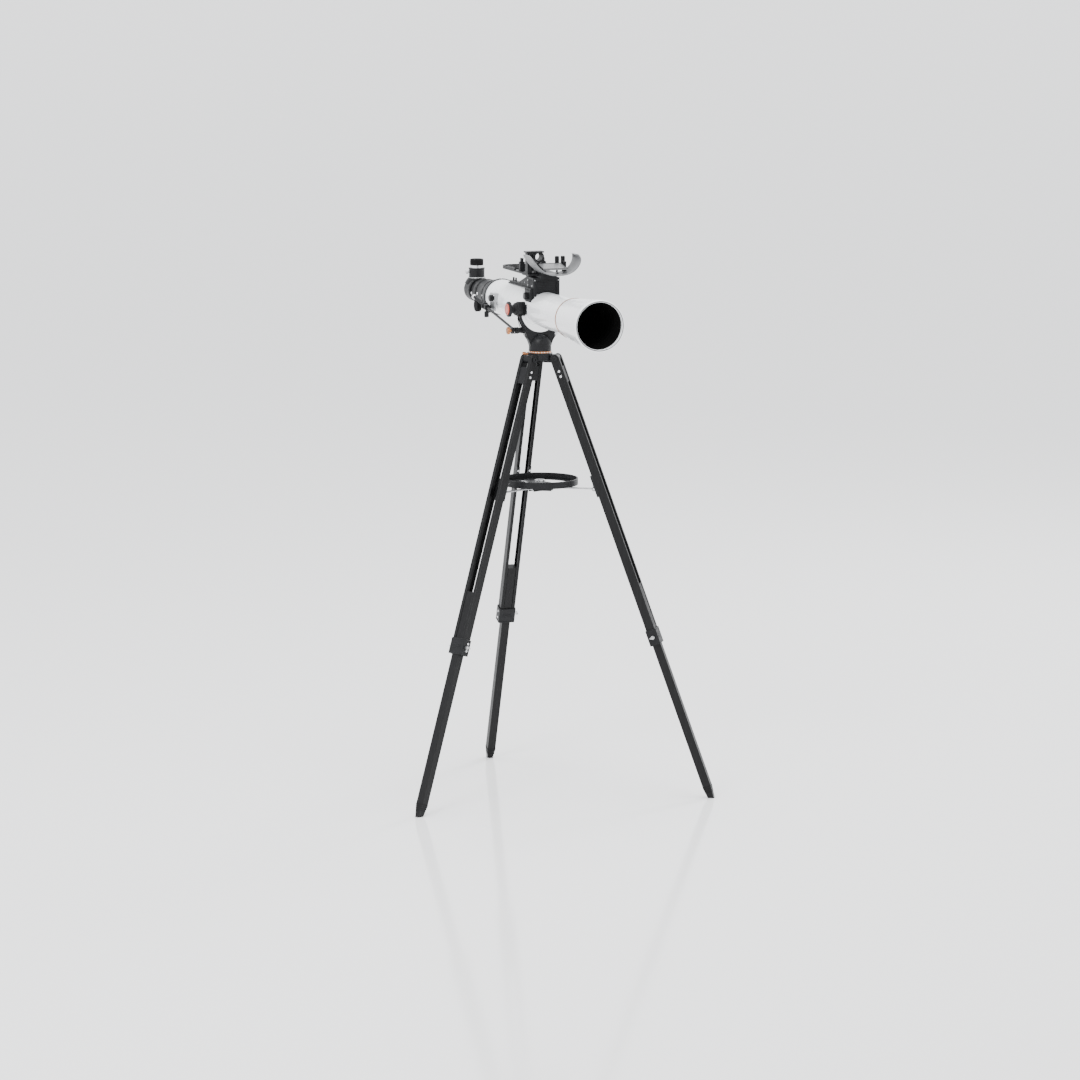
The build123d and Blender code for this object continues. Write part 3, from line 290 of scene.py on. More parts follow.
def lens_glass():
    finish = Finish("lens_glass", specular=0.22, coat=0.35)
    finish.shader.inputs["Coat Roughness"].default_value = 0.02
    # The base colour turns from dark green face-on to purple at grazing angles: a painted coating sheen. Noise
    # patches then vary it at random.
    coating_facing = finish.node("ShaderNodeLayerWeight")
    coating_facing.inputs["Blend"].default_value = 0.35
    painted_coating_sheen = finish.ramp(
        coating_facing.outputs["Facing"], [(0.0, (0.002, 0.005, 0.004)), (1.0, (0.020, 0.008, 0.022))],
    )
    patchy_painted_sheen = finish.mix(
        finish.ramp(finish.noise(14, 2), [(0.4, 0.0), (0.8, 0.35)]), painted_coating_sheen, (0.004, 0.009, 0.008),
    )
    finish.link(patchy_painted_sheen, finish.shader.inputs["Base Color"])
    finish.roughness(0.02, 0.06, 60)
    return finish.material


def hood_grey():
    finish = Finish("hood_grey", specular=0.40)
    finish.colour((0.125, 0.127, 0.130), (0.150, 0.152, 0.155), 24, painted_edge_tone=(0.24, 0.24, 0.245), edge=0.0012)
    finish.roughness(0.30, 0.42, 90)
    finish.relief(700, 0.06, 0.00008)
    return finish.material


def mirror_silver():
    finish = Finish("mirror_silver", metallic=0.35)
    # The darker last colour is a painted edge shade on the sharp edges.
    finish.colour((0.120, 0.122, 0.125), (0.150, 0.152, 0.155), 20, painted_edge_tone=(0.08, 0.08, 0.085), edge=0.0014)
    finish.roughness(0.20, 0.34, 70)
    finish.relief(400, 0.04, 0.00008)
    return finish.material


MATERIALS = {make.__name__: make() for make in (
    black_plastic, soft_black, anodised_black, gloss_white, copper, coral, bright_screw,
    grey_metal, inner_black, lens_glass, hood_grey, mirror_silver,
)}


def dress_cad():
    for node, obj in NODES.items():
        material = MATERIALS[SLOT_OF[node]]
        obj.data.materials.clear()
        obj.data.materials.append(material)
        for polygon in obj.data.polygons:
            polygon.material_index = 0


# ---- mesh helpers -------------------------------------------------------------------
# Profiles and positions in these helpers are in millimetres; the meshes are in metres.
AXIS_X = Matrix.Rotation(math.pi / 2, 4, "Y")      # local Z laid along +X
AXIS_Y = Matrix.Rotation(-math.pi / 2, 4, "X")     # local Z laid along +Y


def at(x, y, z, turn=None):
    place = Matrix.Translation((x, y, z))
    return place @ turn if turn is not None else place


def lathe(bm, place, profile, segments=64, closed=True):
    """Surface of revolution about local Z from (radius, height) points."""
    rings = []
    for radius, height in profile:
        count = 1 if radius == 0 else segments
        ring = []
        for index in range(count):
            angle = 2 * math.pi * index / segments
            point = place @ Vector((radius * math.cos(angle), radius * math.sin(angle), height))
            ring.append(bm.verts.new(point * MM))
        rings.append(ring)
    pairs = list(zip(rings, rings[1:]))
    if closed:
        pairs.append((rings[-1], rings[0]))
    for first, second in pairs:
        for index in range(segments):
            following = (index + 1) % segments
            corners = [first[index % len(first)], first[following % len(first)],
                       second[following % len(second)], second[index % len(second)]]
            unique = list(dict.fromkeys(corners))
            if len(unique) > 2:
                bm.faces.new(unique)


def band(bm, place, radius, height, width, start, soft=0.3, segments=96):
    """Raised ring on a round surface, with softened shoulders."""
    soft = min(soft, height * 0.6, width * 0.4)
    lathe(bm, place, [
        (radius - 0.4, start), (radius + height - soft, start), (radius + height, start + soft),
        (radius + height, start + width - soft), (radius + height - soft, start + width),
        (radius - 0.4, start + width),
    ], segments)


def ribs(bm, place, radius, height, width, start, length, count):
    """Narrow ridges along local Z, spaced round a cylinder."""
    for index in range(count):
        turn = place @ Matrix.Rotation(2 * math.pi * index / count, 4, "Z")
        half = width / 2
        foot = [
            (radius - 0.3, -half), (radius - 0.3, half), (radius + height, half * 0.45),
            (radius + height, -half * 0.45),
        ]
        low = [bm.verts.new((turn @ Vector((x, y, start))) * MM) for x, y in foot]
        high = [bm.verts.new((turn @ Vector((x, y, start + length))) * MM) for x, y in foot]
        bm.faces.new(low[::-1])
        bm.faces.new(high)
        for side in range(4):
            following = (side + 1) % 4
            bm.faces.new((low[side], low[following], high[following], high[side]))


def bar(bm, place, size, soft):
    """Block centred on local zero with bevelled edges."""
    made = bmesh.ops.create_cube(bm, size=1.0)["verts"]
    for vert in made:
        vert.co = Vector(c * s for c, s in zip(vert.co, size))
    edges = list({edge for vert in made for edge in vert.link_edges})
    bevelled = bmesh.ops.bevel(bm, geom=edges, offset=soft, segments=2, affect="EDGES", profile=0.6)
    verts = {vert for face in bevelled["faces"] for vert in face.verts} | {v for v in made if v.is_valid}
    for vert in verts:
        vert.co = (place @ vert.co) * MM


def bead(bm, points, radius, sides=8):
    """Round bead along a line of points, closed at both ends."""
    rings = []
    for index, point in enumerate(points):
        before = points[max(index - 1, 0)]
        after = points[min(index + 1, len(points) - 1)]
        along = (after - before).normalized()
        across = along.cross(Vector((0, 0, 1)) if abs(along.z) < 0.9 else Vector((1, 0, 0))).normalized()
        up = along.cross(across)
        ring = []
        for side in range(sides):
            angle = 2 * math.pi * side / sides
            ring.append(
                bm.verts.new((point + (across * math.cos(angle) + up * math.sin(angle)) * radius) * MM),
            )
        rings.append(ring)
    for first, second in zip(rings, rings[1:]):
        for side in range(sides):
            following = (side + 1) % sides
            bm.faces.new((first[side], first[following], second[following], second[side]))
    bm.faces.new(rings[0][::-1])
    bm.faces.new(rings[-1])


def screw(bm, place, radius, height):
    """Domed screw head on local z = 0 with a recess in its top."""
    lathe(bm, place, [
        (0, height * 0.35), (radius * 0.34, height * 0.35), (radius * 0.42, height * 0.98),
        (radius * 0.62, height), (radius * 0.86, height * 0.82), (radius, height * 0.45),
        (radius, -0.2),
    ], 24, closed=False)


def thread(bm, place, radius, height, start, length, pitch):
    """Helical ridge round local Z."""
    steps = int(length / pitch * 20)
    rows = []
    for index in range(steps + 1):
        angle = 2 * math.pi * index / 20
        z = start + pitch * index / 20
        row = []
        for r, dz in ((radius - 0.3, -0.45 * pitch), (radius + height, -0.08 * pitch),
                      (radius + height, 0.08 * pitch), (radius - 0.3, 0.45 * pitch)):
            point = place @ Vector((r * math.cos(angle), r * math.sin(angle), z + dz))
            row.append(bm.verts.new(point * MM))
        rows.append(row)
    for first, second in zip(rows, rows[1:]):
        for side in range(4):
            following = (side + 1) % 4
            bm.faces.new((first[side], first[following], second[following], second[side]))
    bm.faces.new(rows[0][::-1])
    bm.faces.new(rows[-1])


def piece(name, bm, slot, body, flat_angle=40.0):
    bmesh.ops.recalc_face_normals(bm, faces=bm.faces)
    mesh = bpy.data.meshes.new(name)
    bm.to_mesh(mesh)
    bm.free()
    obj = bpy.data.objects.new(name, mesh)
    bpy.context.scene.collection.objects.link(obj)
    mesh.materials.append(MATERIALS[slot])
    mesh.polygons.foreach_set("use_smooth", [True] * len(mesh.polygons))
    mesh.set_sharp_from_angle(angle=math.radians(flat_angle))
    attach(obj, body)
    return obj


def mm_box(node):
    low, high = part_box(node)
    return low / MM, high / MM


# ---- optical tube ----------------------------------------------------------------------
# millimetres, as in every detail function below
TUBE_LOW, TUBE_HIGH = mm_box("main_tube")
AXIS_Z = (TUBE_LOW.z + TUBE_HIGH.z) / 2
TUBE_R = (TUBE_HIGH.x - TUBE_LOW.x) / 2
FOCUS_SHAFT = Vector(JOINTS["focus_turn"]["pos_m"]) / MM
ALONG_TUBE = at(0, 0, AXIS_Z, AXIS_Y)              # local Z runs from the objective to the rear


def focuser_details():
    low, high = mm_box("focuser_body")
    flange_r = high.z - AXIS_Z
    rear = high.y
    bm = bmesh.new()
    for start, radius in ((rear - 30, 32.75), (rear - 34.5, 32.85), (rear - 39, 32.95), (rear - 96, 37.2)):
        band(bm, ALONG_TUBE, radius, 0.9, 1.8, start)
    band(bm, ALONG_TUBE, flange_r, 0.5, 2.2, TUBE_HIGH.y + 1.0)
    ribs(bm, ALONG_TUBE, 30.5, 0.7, 1.6, rear - 17, 14, 60)
    band(bm, ALONG_TUBE, 30.5, 0.9, 1.6, rear - 2.0)
    piece("focuser_rings", bm, "black_plastic", "optical_tube")
    bm = bmesh.new()
    for angle in (30, 150, 270):
        spoke = ALONG_TUBE @ Matrix.Rotation(math.radians(angle), 4, "Z")
        screw(bm, spoke @ at(flange_r, 0, TUBE_HIGH.y + 6.5, AXIS_X), 2.2, 1.3)
    side = ALONG_TUBE @ Matrix.Rotation(math.radians(180), 4, "Z")
    screw(bm, side @ at(33.0, 0, rear - 50, AXIS_X), 3.4, 2.2)
    screw(bm, side @ at(37.0, 0, rear - 100, AXIS_X), 2.4, 1.4)
    piece("focuser_screws", bm, "bright_screw", "optical_tube")
    bm = bmesh.new()
    for x in (-13, 13):
        for y in (-9, 9):
            place = at(x, FOCUS_SHAFT.y + y, low.z, Matrix.Rotation(math.pi, 4, "X"))
            screw(bm, place, 2.0, 1.0)
    piece("pinion_box_screws", bm, "grey_metal", "optical_tube")


def focus_grips():
    high = mm_box("focus_knobs")[1]
    bm = bmesh.new()
    for side in (-1, 1):
        face = high.x * side
        place = at(0, FOCUS_SHAFT.y, FOCUS_SHAFT.z, AXIS_X)
        start = face - 10.5 if side > 0 else face + 1.5
        ribs(bm, place, 14.6, 0.35, 0.9, start, 9.0, 48)
    piece("focus_grips", bm, "soft_black", "focus_knobs")
    bm = bmesh.new()
    for side in (-1, 1):
        place = at(high.x * side, FOCUS_SHAFT.y, FOCUS_SHAFT.z, AXIS_X)
        if side < 0:
            place = place @ Matrix.Rotation(math.pi, 4, "X")
        lathe(bm, place, [
            (0, -0.6), (2.6, -0.6), (3.0, -0.05), (9.6, -0.05), (10.6, -0.5), (10.6, -1.0), (0, -1.0),
        ], 48, False)
    piece("focus_caps", bm, "grey_metal", "focus_knobs")


def lens_details():
    low, high = mm_box("lens_cell")
    front = TUBE_LOW.y - 9
    bm = bmesh.new()
    lathe(bm, ALONG_TUBE, [
        (39.2, front), (39.6, front - 0.9), (41.8, front - 0.9), (42.4, front), (42.4, front + 1),
        (39.2, front + 1),
    ], 96)
    for index in range(12):
        place = ALONG_TUBE @ Matrix.Rotation(2 * math.pi * index / 12, 4, "Z")
        bar(bm, place @ at(40.7, 0, front - 1.0), (1.4, 4.0, 0.6), 0.15)
    piece("lens_retainer", bm, "inner_black", "optical_tube")
    bm = bmesh.new()
    mouth, root = low.y, TUBE_LOW.y + 10
    lip_r = high.x - 1.2
    for index in range(9):
        share = (index + 1) / 10
        radius = lip_r + (TUBE_R - lip_r) * share
        y = mouth + (root - mouth) * share
        lathe(bm, ALONG_TUBE, [
            (radius + 0.6, y - 1.2), (radius - 1.4, y - 0.25), (radius - 1.4, y + 0.25),
            (radius + 0.6, y + 1.2),
        ], 96)
    piece("shield_baffles", bm, "inner_black", "optical_tube")


def shield_details():
    low, high = mm_box("accent_ring")
    radius = high.x
    bm = bmesh.new()
    lathe(bm, ALONG_TUBE, [
        (radius - 1.2, low.y - 0.5), (radius - 0.15, low.y - 0.5), (radius - 0.15, low.y + 0.25),
        (radius - 1.2, low.y + 0.25),
    ], 96)
    lathe(bm, ALONG_TUBE, [
        (TUBE_R - 0.4, high.y - 0.2), (TUBE_R + 2.6, high.y - 0.2), (TUBE_R + 0.5, high.y + 1.6),
        (TUBE_R - 0.4, high.y + 1.6),
    ], 96)
    piece("accent_gaskets", bm, "black_plastic", "optical_tube")
    low, high = mm_box("dew_shield")
    bm = bmesh.new()
    lathe(bm, ALONG_TUBE, [
        (high.x - 5.3, low.y + 0.9), (high.x - 4.6, low.y - 0.0), (high.x - 2.6, low.y - 0.0),
        (high.x - 2.2, low.y + 0.9),
    ], 128)
    piece("shield_lip_bead", bm, "gloss_white", "optical_tube")


# ---- diagonal and eyepiece -----------------------------------------------------------------
EYE_LOW, EYE_HIGH = mm_box("eyepiece_body")
EYE_Y = (EYE_LOW.y + EYE_HIGH.y) / 2
UP_EYE = at(0, EYE_Y, 0)
SOCKET_R = 19.5
EYE_LENS_R = 7.4


def diagonal_details():
    low, high = mm_box("diagonal_body")
    draw_end = mm_box("draw_tube")[1].y
    bm = bmesh.new()
    band(bm, UP_EYE, SOCKET_R, 0.9, 2.4, high.z - 2.6)
    band(bm, UP_EYE, SOCKET_R, 0.5, 1.0, high.z - 7.0)
    radius = high.x
    for step in (0.0, 4.5):
        lathe(bm, ALONG_TUBE, [
            (17 - step, high.y - 0.1), (17.6 - step, high.y - 0.05), (19.0 - step, high.y - 0.05),
            (19.6 - step, high.y - 0.6), (17 - step, high.y - 0.6),
        ], 72)
    band(bm, ALONG_TUBE, radius, 0.6, 1.4, low.y + 24)
    band(bm, ALONG_TUBE, radius, 0.6, 1.4, low.y + 28)
    piece("diagonal_rings", bm, "black_plastic", "diagonal")
    bm = bmesh.new()
    foot = high.z - 25.5
    lathe(bm, UP_EYE, [
        (19.2, foot), (20.6, foot), (21.1, foot + 0.6), (21.1, foot + 1.8), (20.6, foot + 2.4),
        (19.2, foot + 2.4),
    ], 72)
    for angle in (35, 145, 215, 325):
        place = ALONG_TUBE @ Matrix.Rotation(math.radians(angle), 4, "Z")
        screw(bm, place @ at(13.0, 0, high.y - 0.9), 1.9, 0.9)
    piece("socket_ring", bm, "grey_metal", "diagonal")
    bm = bmesh.new()
    flange = draw_end - 5.0
    place = ALONG_TUBE @ Matrix.Rotation(math.radians(171), 4, "Z") @ at(23.6, 0, flange, AXIS_X)
    lathe(bm, place, [
        (0, 0), (1.6, 0), (1.6, 1.6), (3.2, 2.0), (3.4, 2.6), (3.4, 6.2), (2.9, 6.8), (0, 6.8),
    ], 32, False)
    ribs(bm, place, 3.3, 0.3, 0.6, 2.8, 3.2, 18)
    lathe(bm, ALONG_TUBE, [
        (23.8, draw_end - 1.6), (24.5, draw_end - 1.4), (24.5, draw_end - 0.8), (23.8, draw_end - 0.6),
    ], 72)
    piece("draw_tube_screw", bm, "bright_screw", "draw_tube")


def eyepiece_details():
    radius = (EYE_HIGH.x - EYE_LOW.x) / 2
    bm = bmesh.new()
    ribs(bm, UP_EYE, radius - 0.1, 0.35, 1.1, EYE_LOW.z + 2.6, 8.4, 44)
    band(bm, UP_EYE, radius - 0.2, 0.4, 1.2, EYE_LOW.z + 0.8)
    band(bm, UP_EYE, radius - 0.2, 0.4, 1.2, EYE_LOW.z + 11.4)
    piece("eyepiece_grip", bm, "soft_black", "eyepiece")
    bm = bmesh.new()
    glass = []
    for index in range(8):
        angle = index * math.pi / 16
        glass.append((EYE_LENS_R * math.cos(angle), EYE_LOW.z + 4.7 + 1.5 * math.sin(angle)))
    lathe(bm, UP_EYE, [(EYE_LENS_R, EYE_LOW.z + 4.4)] + glass + [(0, EYE_LOW.z + 6.2)], 48, False)
    piece("eye_lens", bm, "lens_glass", "eyepiece")
    bm = bmesh.new()
    lathe(bm, UP_EYE, [
        (EYE_LENS_R, EYE_LOW.z + 5.2), (EYE_LENS_R, EYE_LOW.z + 6.6), (8.0, EYE_LOW.z + 7.0),
        (8.3, EYE_LOW.z + 6.6), (8.0, EYE_LOW.z + 5.2),
    ], 48)
    piece("eye_lens_ring", bm, "bright_screw", "eyepiece")


# ---- slow-motion rod -----------------------------------------------------------------------
def joint_place(name):
    """The joint's point, with local Z along its axis, in millimetres."""
    joint = JOINTS[name]
    axis = Vector(joint["axis"]).normalized()
    turn = axis.to_track_quat("Z", "Y").to_matrix().to_4x4()
    return Matrix.Translation(Vector(joint["pos_m"]) / MM) @ turn


def rod_details():
    rear = joint_place("rod_wheel_turn")
    bm = bmesh.new()
    lathe(bm, rear, [(2.8, 10.0), (3.6, 10.0), (4.0, 10.6), (4.0, 82.0), (3.6, 83.0), (2.8, 83.0)], 40)
    thread(bm, rear, 4.0, 0.35, 14.0, 64.0, 2.4)
    piece("rod_sleeve", bm, "black_plastic", "slow_rod")
    bm = bmesh.new()
    ribs(bm, rear, 8.9, 0.4, 0.9, 1.2, 5.6, 36)
    band(bm, rear, 5.4, 1.4, 1.2, 7.6)
    piece("rod_wheel_knurl", bm, "black_plastic", "rod_wheel")
    bm = bmesh.new()
    clamp = joint_place("rod_clamp_swivel")
    band(bm, clamp, 7.8, 0.5, 1.4, -7.6)
    band(bm, clamp, 7.8, 0.5, 1.4, 7.0)
    piece("rod_clamp_bands", bm, "black_plastic", "rod_clamp")
    lock = joint_place("rod_lock_turn")
    low = mm_box("rod_lock_knob")[0]
    face = Matrix.Translation(
        (low.x, lock.translation.y, lock.translation.z),
    ) @ AXIS_X @ Matrix.Rotation(math.pi, 4, "X")
    bm = bmesh.new()
    lathe(bm, face, [
        (0, -0.5), (3.2, -0.5), (3.8, 0.0), (5.2, 0.0), (5.8, -0.6), (5.8, -1.0), (0, -1.0),
    ], 40, False)
    piece("rod_lock_face", bm, "copper", "rod_lock_knob")
    low, high = mm_box("rod_bracket")
    bm = bmesh.new()
    for y, z in ((low.y + 5.5, high.z - 5.5), (low.y + 6.5, high.z - 17.0)):
        screw(bm, at(low.x, y, z, AXIS_X @ Matrix.Rotation(math.pi, 4, "X")), 2.6, 1.4)
    piece("bracket_screws", bm, "bright_screw", "optical_tube")


# ---- yoke and azimuth bearing ------------------------------------------------------------------
HUB_R = 30.0
COLUMN_R = 27.0
ARM_EDGE_Y = 8.0
# half width and height along the outer edge of the yoke's arms
ARM_CURVE = ((30.5, 1105), (36.5, 1114), (42.5, 1125), (48.0, 1136), (52.0, 1148), (54.2, 1158))


def yoke_details():
    high = mm_box("yoke")[1]
    ring_low, ring_high = mm_box("azimuth_ring")
    base = ring_high.z + 0.4
    upright = at(0, 0, 0)
    bm = bmesh.new()
    band(bm, upright, COLUMN_R, 0.45, 1.6, base + 1.2)
    band(bm, upright, COLUMN_R, 0.3, 0.8, base + 14.6)
    for side in (-1, 1):
        boss = at(high.x * side, 0, AXIS_Z, AXIS_X)
        if side < 0:
            boss = boss @ Matrix.Rotation(math.pi, 4, "X")
        band(bm, boss, 17.2, 0.5, 1.6, -6.4)
        for index in range(12):
            turn = boss @ Matrix.Rotation(2 * math.pi * index / 12, 4, "Z")
            bar(bm, turn @ at(17.2, 0, -3.2), (1.0, 3.4, 2.4), 0.3)
    piece("yoke_bands", bm, "black_plastic", "yoke")
    bm = bmesh.new()
    for front in (-1, 1):
        for side in (-1, 1):
            path = [Vector((side * x, front * ARM_EDGE_Y, z)) for x, z in ARM_CURVE]
            bead(bm, path, 0.9)
    piece("yoke_rib_lines", bm, "anodised_black", "yoke")
    bm = bmesh.new()
    radius = ring_high.x
    for index in range(24):
        turn = Matrix.Rotation(math.radians(15 * index + 5), 4, "Z")
        width = 2.8 if index % 3 == 0 else 1.8
        place = turn @ at(radius + 0.05, 0, (ring_low.z + ring_high.z) / 2)
        bar(bm, place, (0.7, width, 1.7), 0.2)
    piece("azimuth_marks", bm, "gloss_white", "stand")
    bm = bmesh.new()
    band(bm, upright, radius - 1.0, 1.25, 0.5, ring_low.z + 0.05, 0.15)
    piece("azimuth_lower_lip", bm, "copper", "stand")
    head_top = mm_box("tripod_head")[1].z
    bm = bmesh.new()
    band(bm, upright, HUB_R, 0.35, 1.5, head_top - 6.0)
    band(bm, upright, HUB_R, 0.35, 1.5, head_top - 14.5)
    piece("head_bands", bm, "black_plastic", "stand")


def altitude_caps():
    for name, side in (("left", -1), ("right", 1)):
        low, high = mm_box(f"knob_cap_{name}")
        place = at(high.x if side > 0 else low.x, 0, AXIS_Z, AXIS_X)
        if side < 0:
            place = place @ Matrix.Rotation(math.pi, 4, "X")
        bm = bmesh.new()
        lathe(bm, place, [
            (8.6, -0.2), (9.2, 0.0), (10.4, 0.0), (11.0, -0.2), (11.0, -0.8), (8.6, -0.8),
        ], 64)
        lathe(bm, place, [(0, -0.1), (3.0, -0.05), (4.0, -0.5), (4.0, -0.9), (0, -0.9)], 48, False)
        piece(f"cap_rings_{name}", bm, "coral", f"altitude_knob_{name}")
        knob_low, knob_high = mm_box(f"altitude_knob_{name}")
        inner = knob_low.x if side > 0 else knob_high.x
        bm = bmesh.new()
        sleeve = at(inner, 0, AXIS_Z, AXIS_X)
        if side < 0:
            sleeve = sleeve @ Matrix.Rotation(math.pi, 4, "X")
        ribs(bm, sleeve, 14.7, 0.5, 1.5, 0.3, 2.4, 30)
        band(bm, sleeve, 9.8, 0.5, 1.4, 11.0)
        piece(f"knob_ribs_{name}", bm, "black_plastic", f"altitude_knob_{name}")


# ---- finder dock -----------------------------------------------------------------------------
PLATE_SCREW_Z = 1217
SIDE_RIB_Z = 1228.5
SADDLE_SCREWS = ((-8.0, 1238.0), (-8.0, 1250.0), (-38.0, 1238.0))     # y, z
RAIL_SCREWS = ((60.0, 1240.0), (96.0, 1234.0))
PAD_Z = 1269.1
SIGHT_X, SIGHT_Z = -14.7, 1307.0
MIRROR_TILT = math.radians(10.5)


def dock_details():
    low = mm_box("dock_base")[0]
    front = low.y
    top = mm_box("phone_tray")[0].z + 8.0
    bm = bmesh.new()
    for z in (top - 8.5, top - 33.5):
        bar(bm, at(0, front + 0.9, z), (46.0, 1.4, 1.1), 0.3)
    for x in (-24.0, 24.0):
        bar(bm, at(x, front + 0.9, top - 21.0), (1.1, 1.4, 25.0), 0.3)
    for index in range(5):
        bar(bm, at(0, front + 1.5, top - 13.0 - 4.0 * index), (38.0, 1.0, 1.0), 0.3)
    for x in (-29.8, 29.8):
        bar(bm, at(x, front - 0.1, top - 21.0), (3.0, 1.0, 38.0), 0.35)
    for side in (-1, 1):
        for index in range(4):
            bar(bm, at(33.6 * side, front + 12.0 + 8.0 * index, top - 18.0), (1.0, 2.2, 26.0), 0.3)
    for index in range(6):
        bar(bm, at(-40.6, front + 9.5 + 6.4 * index, SIDE_RIB_Z), (1.0, 2.6, 4.0), 0.3)
    piece("dock_panels", bm, "black_plastic", "optical_tube")
    bm = bmesh.new()
    forward = Matrix.Rotation(math.pi / 2, 4, "X")
    for x in (-29.8, 29.8):
        for z in (top - 6.0, top - 46.0):
            screw(bm, at(x, front, z, forward), 1.7, 0.9)
    for x in (-22, 22):
        screw(bm, at(x, front + 5.0, PLATE_SCREW_Z, forward), 2.6, 1.4)
    piece("dock_screws", bm, "grey_metal", "optical_tube")
    bm = bmesh.new()
    rear_side = AXIS_X @ Matrix.Rotation(math.pi, 4, "X")
    for y, z in SADDLE_SCREWS:
        screw(bm, at(low.x + 7.0, y, z, rear_side), 2.2, 1.2)
    for y, z in RAIL_SCREWS:
        screw(bm, at(-6.0, y, z, rear_side), 2.0, 1.2)
    piece("dock_side_screws", bm, "grey_metal", "optical_tube")


def tray_plate_details():
    high = mm_box("phone_tray")[1]
    bm = bmesh.new()
    for index in range(9):
        half = 24.0 - (6.0 if index in (0, 8) else 0.0)
        bar(bm, at(0, high.y - 80.0 + 7.8 * index, PAD_Z), (2 * half, 4.2, 0.9), 0.3)
    piece("phone_pad_ribs", bm, "soft_black", "optical_tube")
    high = mm_box("tray_clamp")[1]
    bm = bmesh.new()
    for side in (-1, 1):
        for index in range(5):
            bar(bm, at(27.0 * side, high.y + 0.1, high.z - 3.5 - 3.4 * index), (5.0, 0.9, 1.3), 0.25)
    for index in range(7):
        bar(bm, at(-12.0 + 4.0 * index, high.y - 2.0, high.z - 18.0), (1.6, 0.8, 12.0), 0.2)
    piece("jaw_ribs", bm, "soft_black", "tray_clamp")


def sight_details():
    centre = at(SIGHT_X, 0, SIGHT_Z, AXIS_Y)
    bm = bmesh.new()
    for start in (-36.0, -9.4):
        lathe(bm, centre, [
            (9.0, start), (9.0, start + 1.4), (10.4, start + 1.4), (11.2, start + 0.7), (10.4, start),
            (9.7, start - 0.35),
        ], 56)
    band(bm, centre, 13.0, 0.5, 1.6, -23.0)
    piece("sight_rims", bm, "black_plastic", "optical_tube")
    bm = bmesh.new()
    mirror_low, mirror_high = mm_box("pick_up_mirror")
    tilt = Matrix.Rotation(MIRROR_TILT, 4, "X")
    middle = (mirror_low + mirror_high) / 2
    for x in (mirror_low.x + 2.4, mirror_high.x - 2.4):
        bar(bm, at(x, middle.y, middle.z + 0.3, tilt), (1.8, 49.0, 4.0), 0.4)
    for y in (-24.0, 24.0):
        bar(bm, at(middle.x, middle.y, middle.z + 0.3, tilt) @ at(0, y, 0), (61.0, 1.6, 4.0), 0.4)
    piece("mirror_frame", bm, "black_plastic", "optical_tube")
    for name in ("left", "right"):
        knob_low, knob_high = mm_box(f"adjust_knob_{name}")
        x = (knob_low.x + knob_high.x) / 2
        y = (knob_low.y + knob_high.y) / 2
        bm = bmesh.new()
        ribs(bm, at(x, y, 0), 4.75, 0.4, 0.8, knob_high.z - 15.0, 11.0, 22)
        lathe(bm, at(x, y, knob_high.z), [
            (0, -0.5), (1.6, -0.5), (2.0, 0.0), (3.0, 0.0), (3.4, -0.4), (0, -0.7),
        ], 32, False)
        piece(f"adjust_knurl_{name}", bm, "black_plastic", f"adjust_knob_{name}")


# ---- legs and tray --------------------------------------------------------------------------------
LEG_HALF = 18.2
RAIL_INNER = 10.8
RAIL_HALF_DEPTH = 10.8
RAIL_END = 727.0
CLAMP_MIDDLE = 711.5
CLAMP_HALF = 20.6
CLAMP_HALF_DEPTH = 13.2
BRACKET = (294.0, 348.0)
STRAP_WALL = 4.0
TRIM_START = 50.0
TRIM_END = RAIL_END - 42.0
LEG_LENGTH = 1127.75
FOOT_LENGTH = 30.0
INNER_HALF = 10.2


def leg_frame(number):
    """Leg axes in millimetres: +X outward, +Y sideways, -Z down the leg from the hinge."""
    hinge = Vector(JOINTS[f"leg_fold_{number}"]["pos_m"]) / MM
    sideways = Vector(JOINTS[f"leg_fold_{number}"]["axis"]).normalized()
    down = Vector(JOINTS[f"leg_slide_{number}"]["axis"]).normalized()
    outward = down.cross(sideways).normalized()
    turn = Matrix((outward, sideways, -down)).transposed().to_4x4()
    return Matrix.Translation(hinge) @ turn


def leg_trim(number):
    """A fine drawn line along the slot side of each rail, and one on each outer corner."""
    place = leg_frame(number)
    bm = bmesh.new()
    for side in (-1, 1):
        for y, radius in ((RAIL_INNER + 0.35, 0.55), (LEG_HALF - 0.3, 0.4)):
            corner = Vector((RAIL_HALF_DEPTH - 0.3, side * y, 0))
            points = [
                place @ (corner + Vector((0, 0, -TRIM_START - (TRIM_END - TRIM_START) * step / 8)))
                for step in range(9)
            ]
            bead(bm, points, radius)
    piece(f"rail_edges_{number}", bm, "anodised_black", f"leg_{number}")


def leg_fitting_details(number):
    """Raised ribs on the clamp collar, and stiffening ribs on the bracket's straps."""
    place = leg_frame(number)
    bm = bmesh.new()
    for side in (-1, 1):
        for offset in (-17.0, 17.0):
            bar(bm, place @ at(0, side * (CLAMP_HALF + 0.1), -CLAMP_MIDDLE + offset), (21.0, 0.9, 1.8), 0.3)
            bar(
                bm, place @ at(side * (CLAMP_HALF_DEPTH + 0.1), 0, -CLAMP_MIDDLE + offset),
                (0.9, 36.0, 1.8), 0.3,
            )
        for offset in (-4.0, 0.0, 4.0):
            bar(
                bm, place @ at(side * (CLAMP_HALF_DEPTH + 0.1), 0, -CLAMP_MIDDLE + offset),
                (0.9, 26.0, 1.6), 0.3,
            )
    strap = -RAIL_HALF_DEPTH - STRAP_WALL
    middle = (LEG_HALF + RAIL_INNER) / 2
    low, high = BRACKET
    for side in (-1, 1):
        for distance in (low + 2.5, high - 4.0, high - 8.0):
            bar(bm, place @ at(strap, side * middle, -distance), (0.8, 5.6, 1.4), 0.25)
    piece(f"fitting_ribs_{number}", bm, "black_plastic", f"leg_{number}")


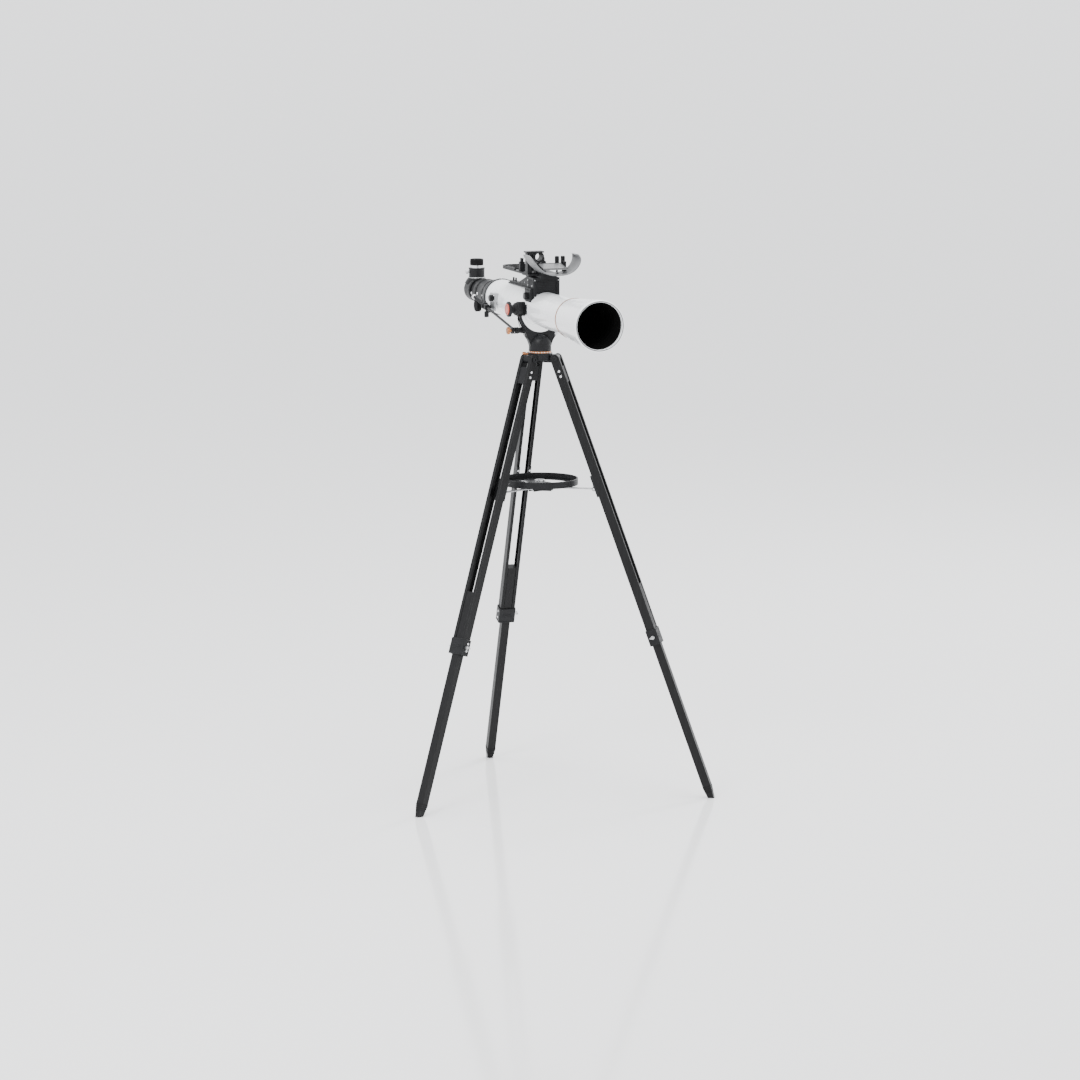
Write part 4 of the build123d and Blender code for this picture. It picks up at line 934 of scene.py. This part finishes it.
def inner_leg_details(number):
    """Grip ridges round the tapered rubber foot."""
    place = leg_frame(number)
    bm = bmesh.new()
    for index in range(4):
        share = index * 0.16
        x = INNER_HALF - 3.25 * share
        y = INNER_HALF - 4.0 * share
        z = -(LEG_LENGTH - FOOT_LENGTH + FOOT_LENGTH * share)
        ring = [Vector((sx * x, sy * y, z)) for sx, sy in ((-1, -1), (1, -1), (1, 1), (-1, 1))]
        for first, second in zip(ring, ring[1:] + ring[:1]):
            bead(bm, [place @ first, place @ ((first + second) / 2), place @ second], 0.75)
    piece(f"foot_ridges_{number}", bm, "soft_black", f"inner_leg_{number}")


def wing_details(number):
    """Domed boss and grip lines on the wing screw."""
    place = joint_place(f"lock_knob_{number}_turn")
    bm = bmesh.new()
    lathe(bm, place, [(0, -4.6), (4.7, -4.6), (4.9, -5.2), (4.9, -7.4), (4.4, -8.0), (0, -8.0)], 40, False)
    for side in (-1, 1):
        for step in (2.8, 4.0, 5.2):
            bar(bm, place @ at(side * step, 0, -2.2), (0.6, 3.5, 5.2), 0.2)
    piece(f"wing_grip_{number}", bm, "bright_screw", f"lock_knob_{number}")


def tray_details():
    low, high = mm_box("tray")
    radius = (high.x - low.x) / 2
    upright = at(0, 0, 0)
    bm = bmesh.new()
    lathe(bm, upright, [
        (radius - 3.2, high.z - 1.0), (radius - 2.4, high.z - 0.0), (radius - 0.8, high.z - 0.0),
        (radius - 0.0, high.z - 1.0), (radius - 0.8, high.z - 2.2), (radius - 2.4, high.z - 2.2),
    ], 128)
    band(bm, upright, radius - 0.45, 0.45, 1.4, high.z - 12.5, segments=128)
    band(bm, upright, radius - 0.45, 0.45, 1.4, high.z - 5.0, segments=128)
    ribs(bm, upright, radius - 0.3, 0.3, 1.6, high.z - 10.6, 5.0, 90)
    piece("tray_rim", bm, "black_plastic", "accessory_tray")
    knob_high = mm_box("tray_fasteners")[1]
    bm = bmesh.new()
    lathe(bm, at(0, 0, knob_high.z), [
        (0, -0.4), (3.0, -0.4), (3.6, 0.0), (7.0, 0.0), (8.0, -0.6), (0, -1.0),
    ], 48, False)
    piece("tray_knob_face", bm, "grey_metal", "accessory_tray")


def add_details():
    focuser_details()
    focus_grips()
    lens_details()
    shield_details()
    diagonal_details()
    eyepiece_details()
    rod_details()
    yoke_details()
    altitude_caps()
    dock_details()
    tray_plate_details()
    sight_details()
    for number in (1, 2, 3):
        leg_trim(number)
        leg_fitting_details(number)
        inner_leg_details(number)
        wing_details(number)
    tray_details()


dress_cad()
add_details()
add_camera()
add_studio()
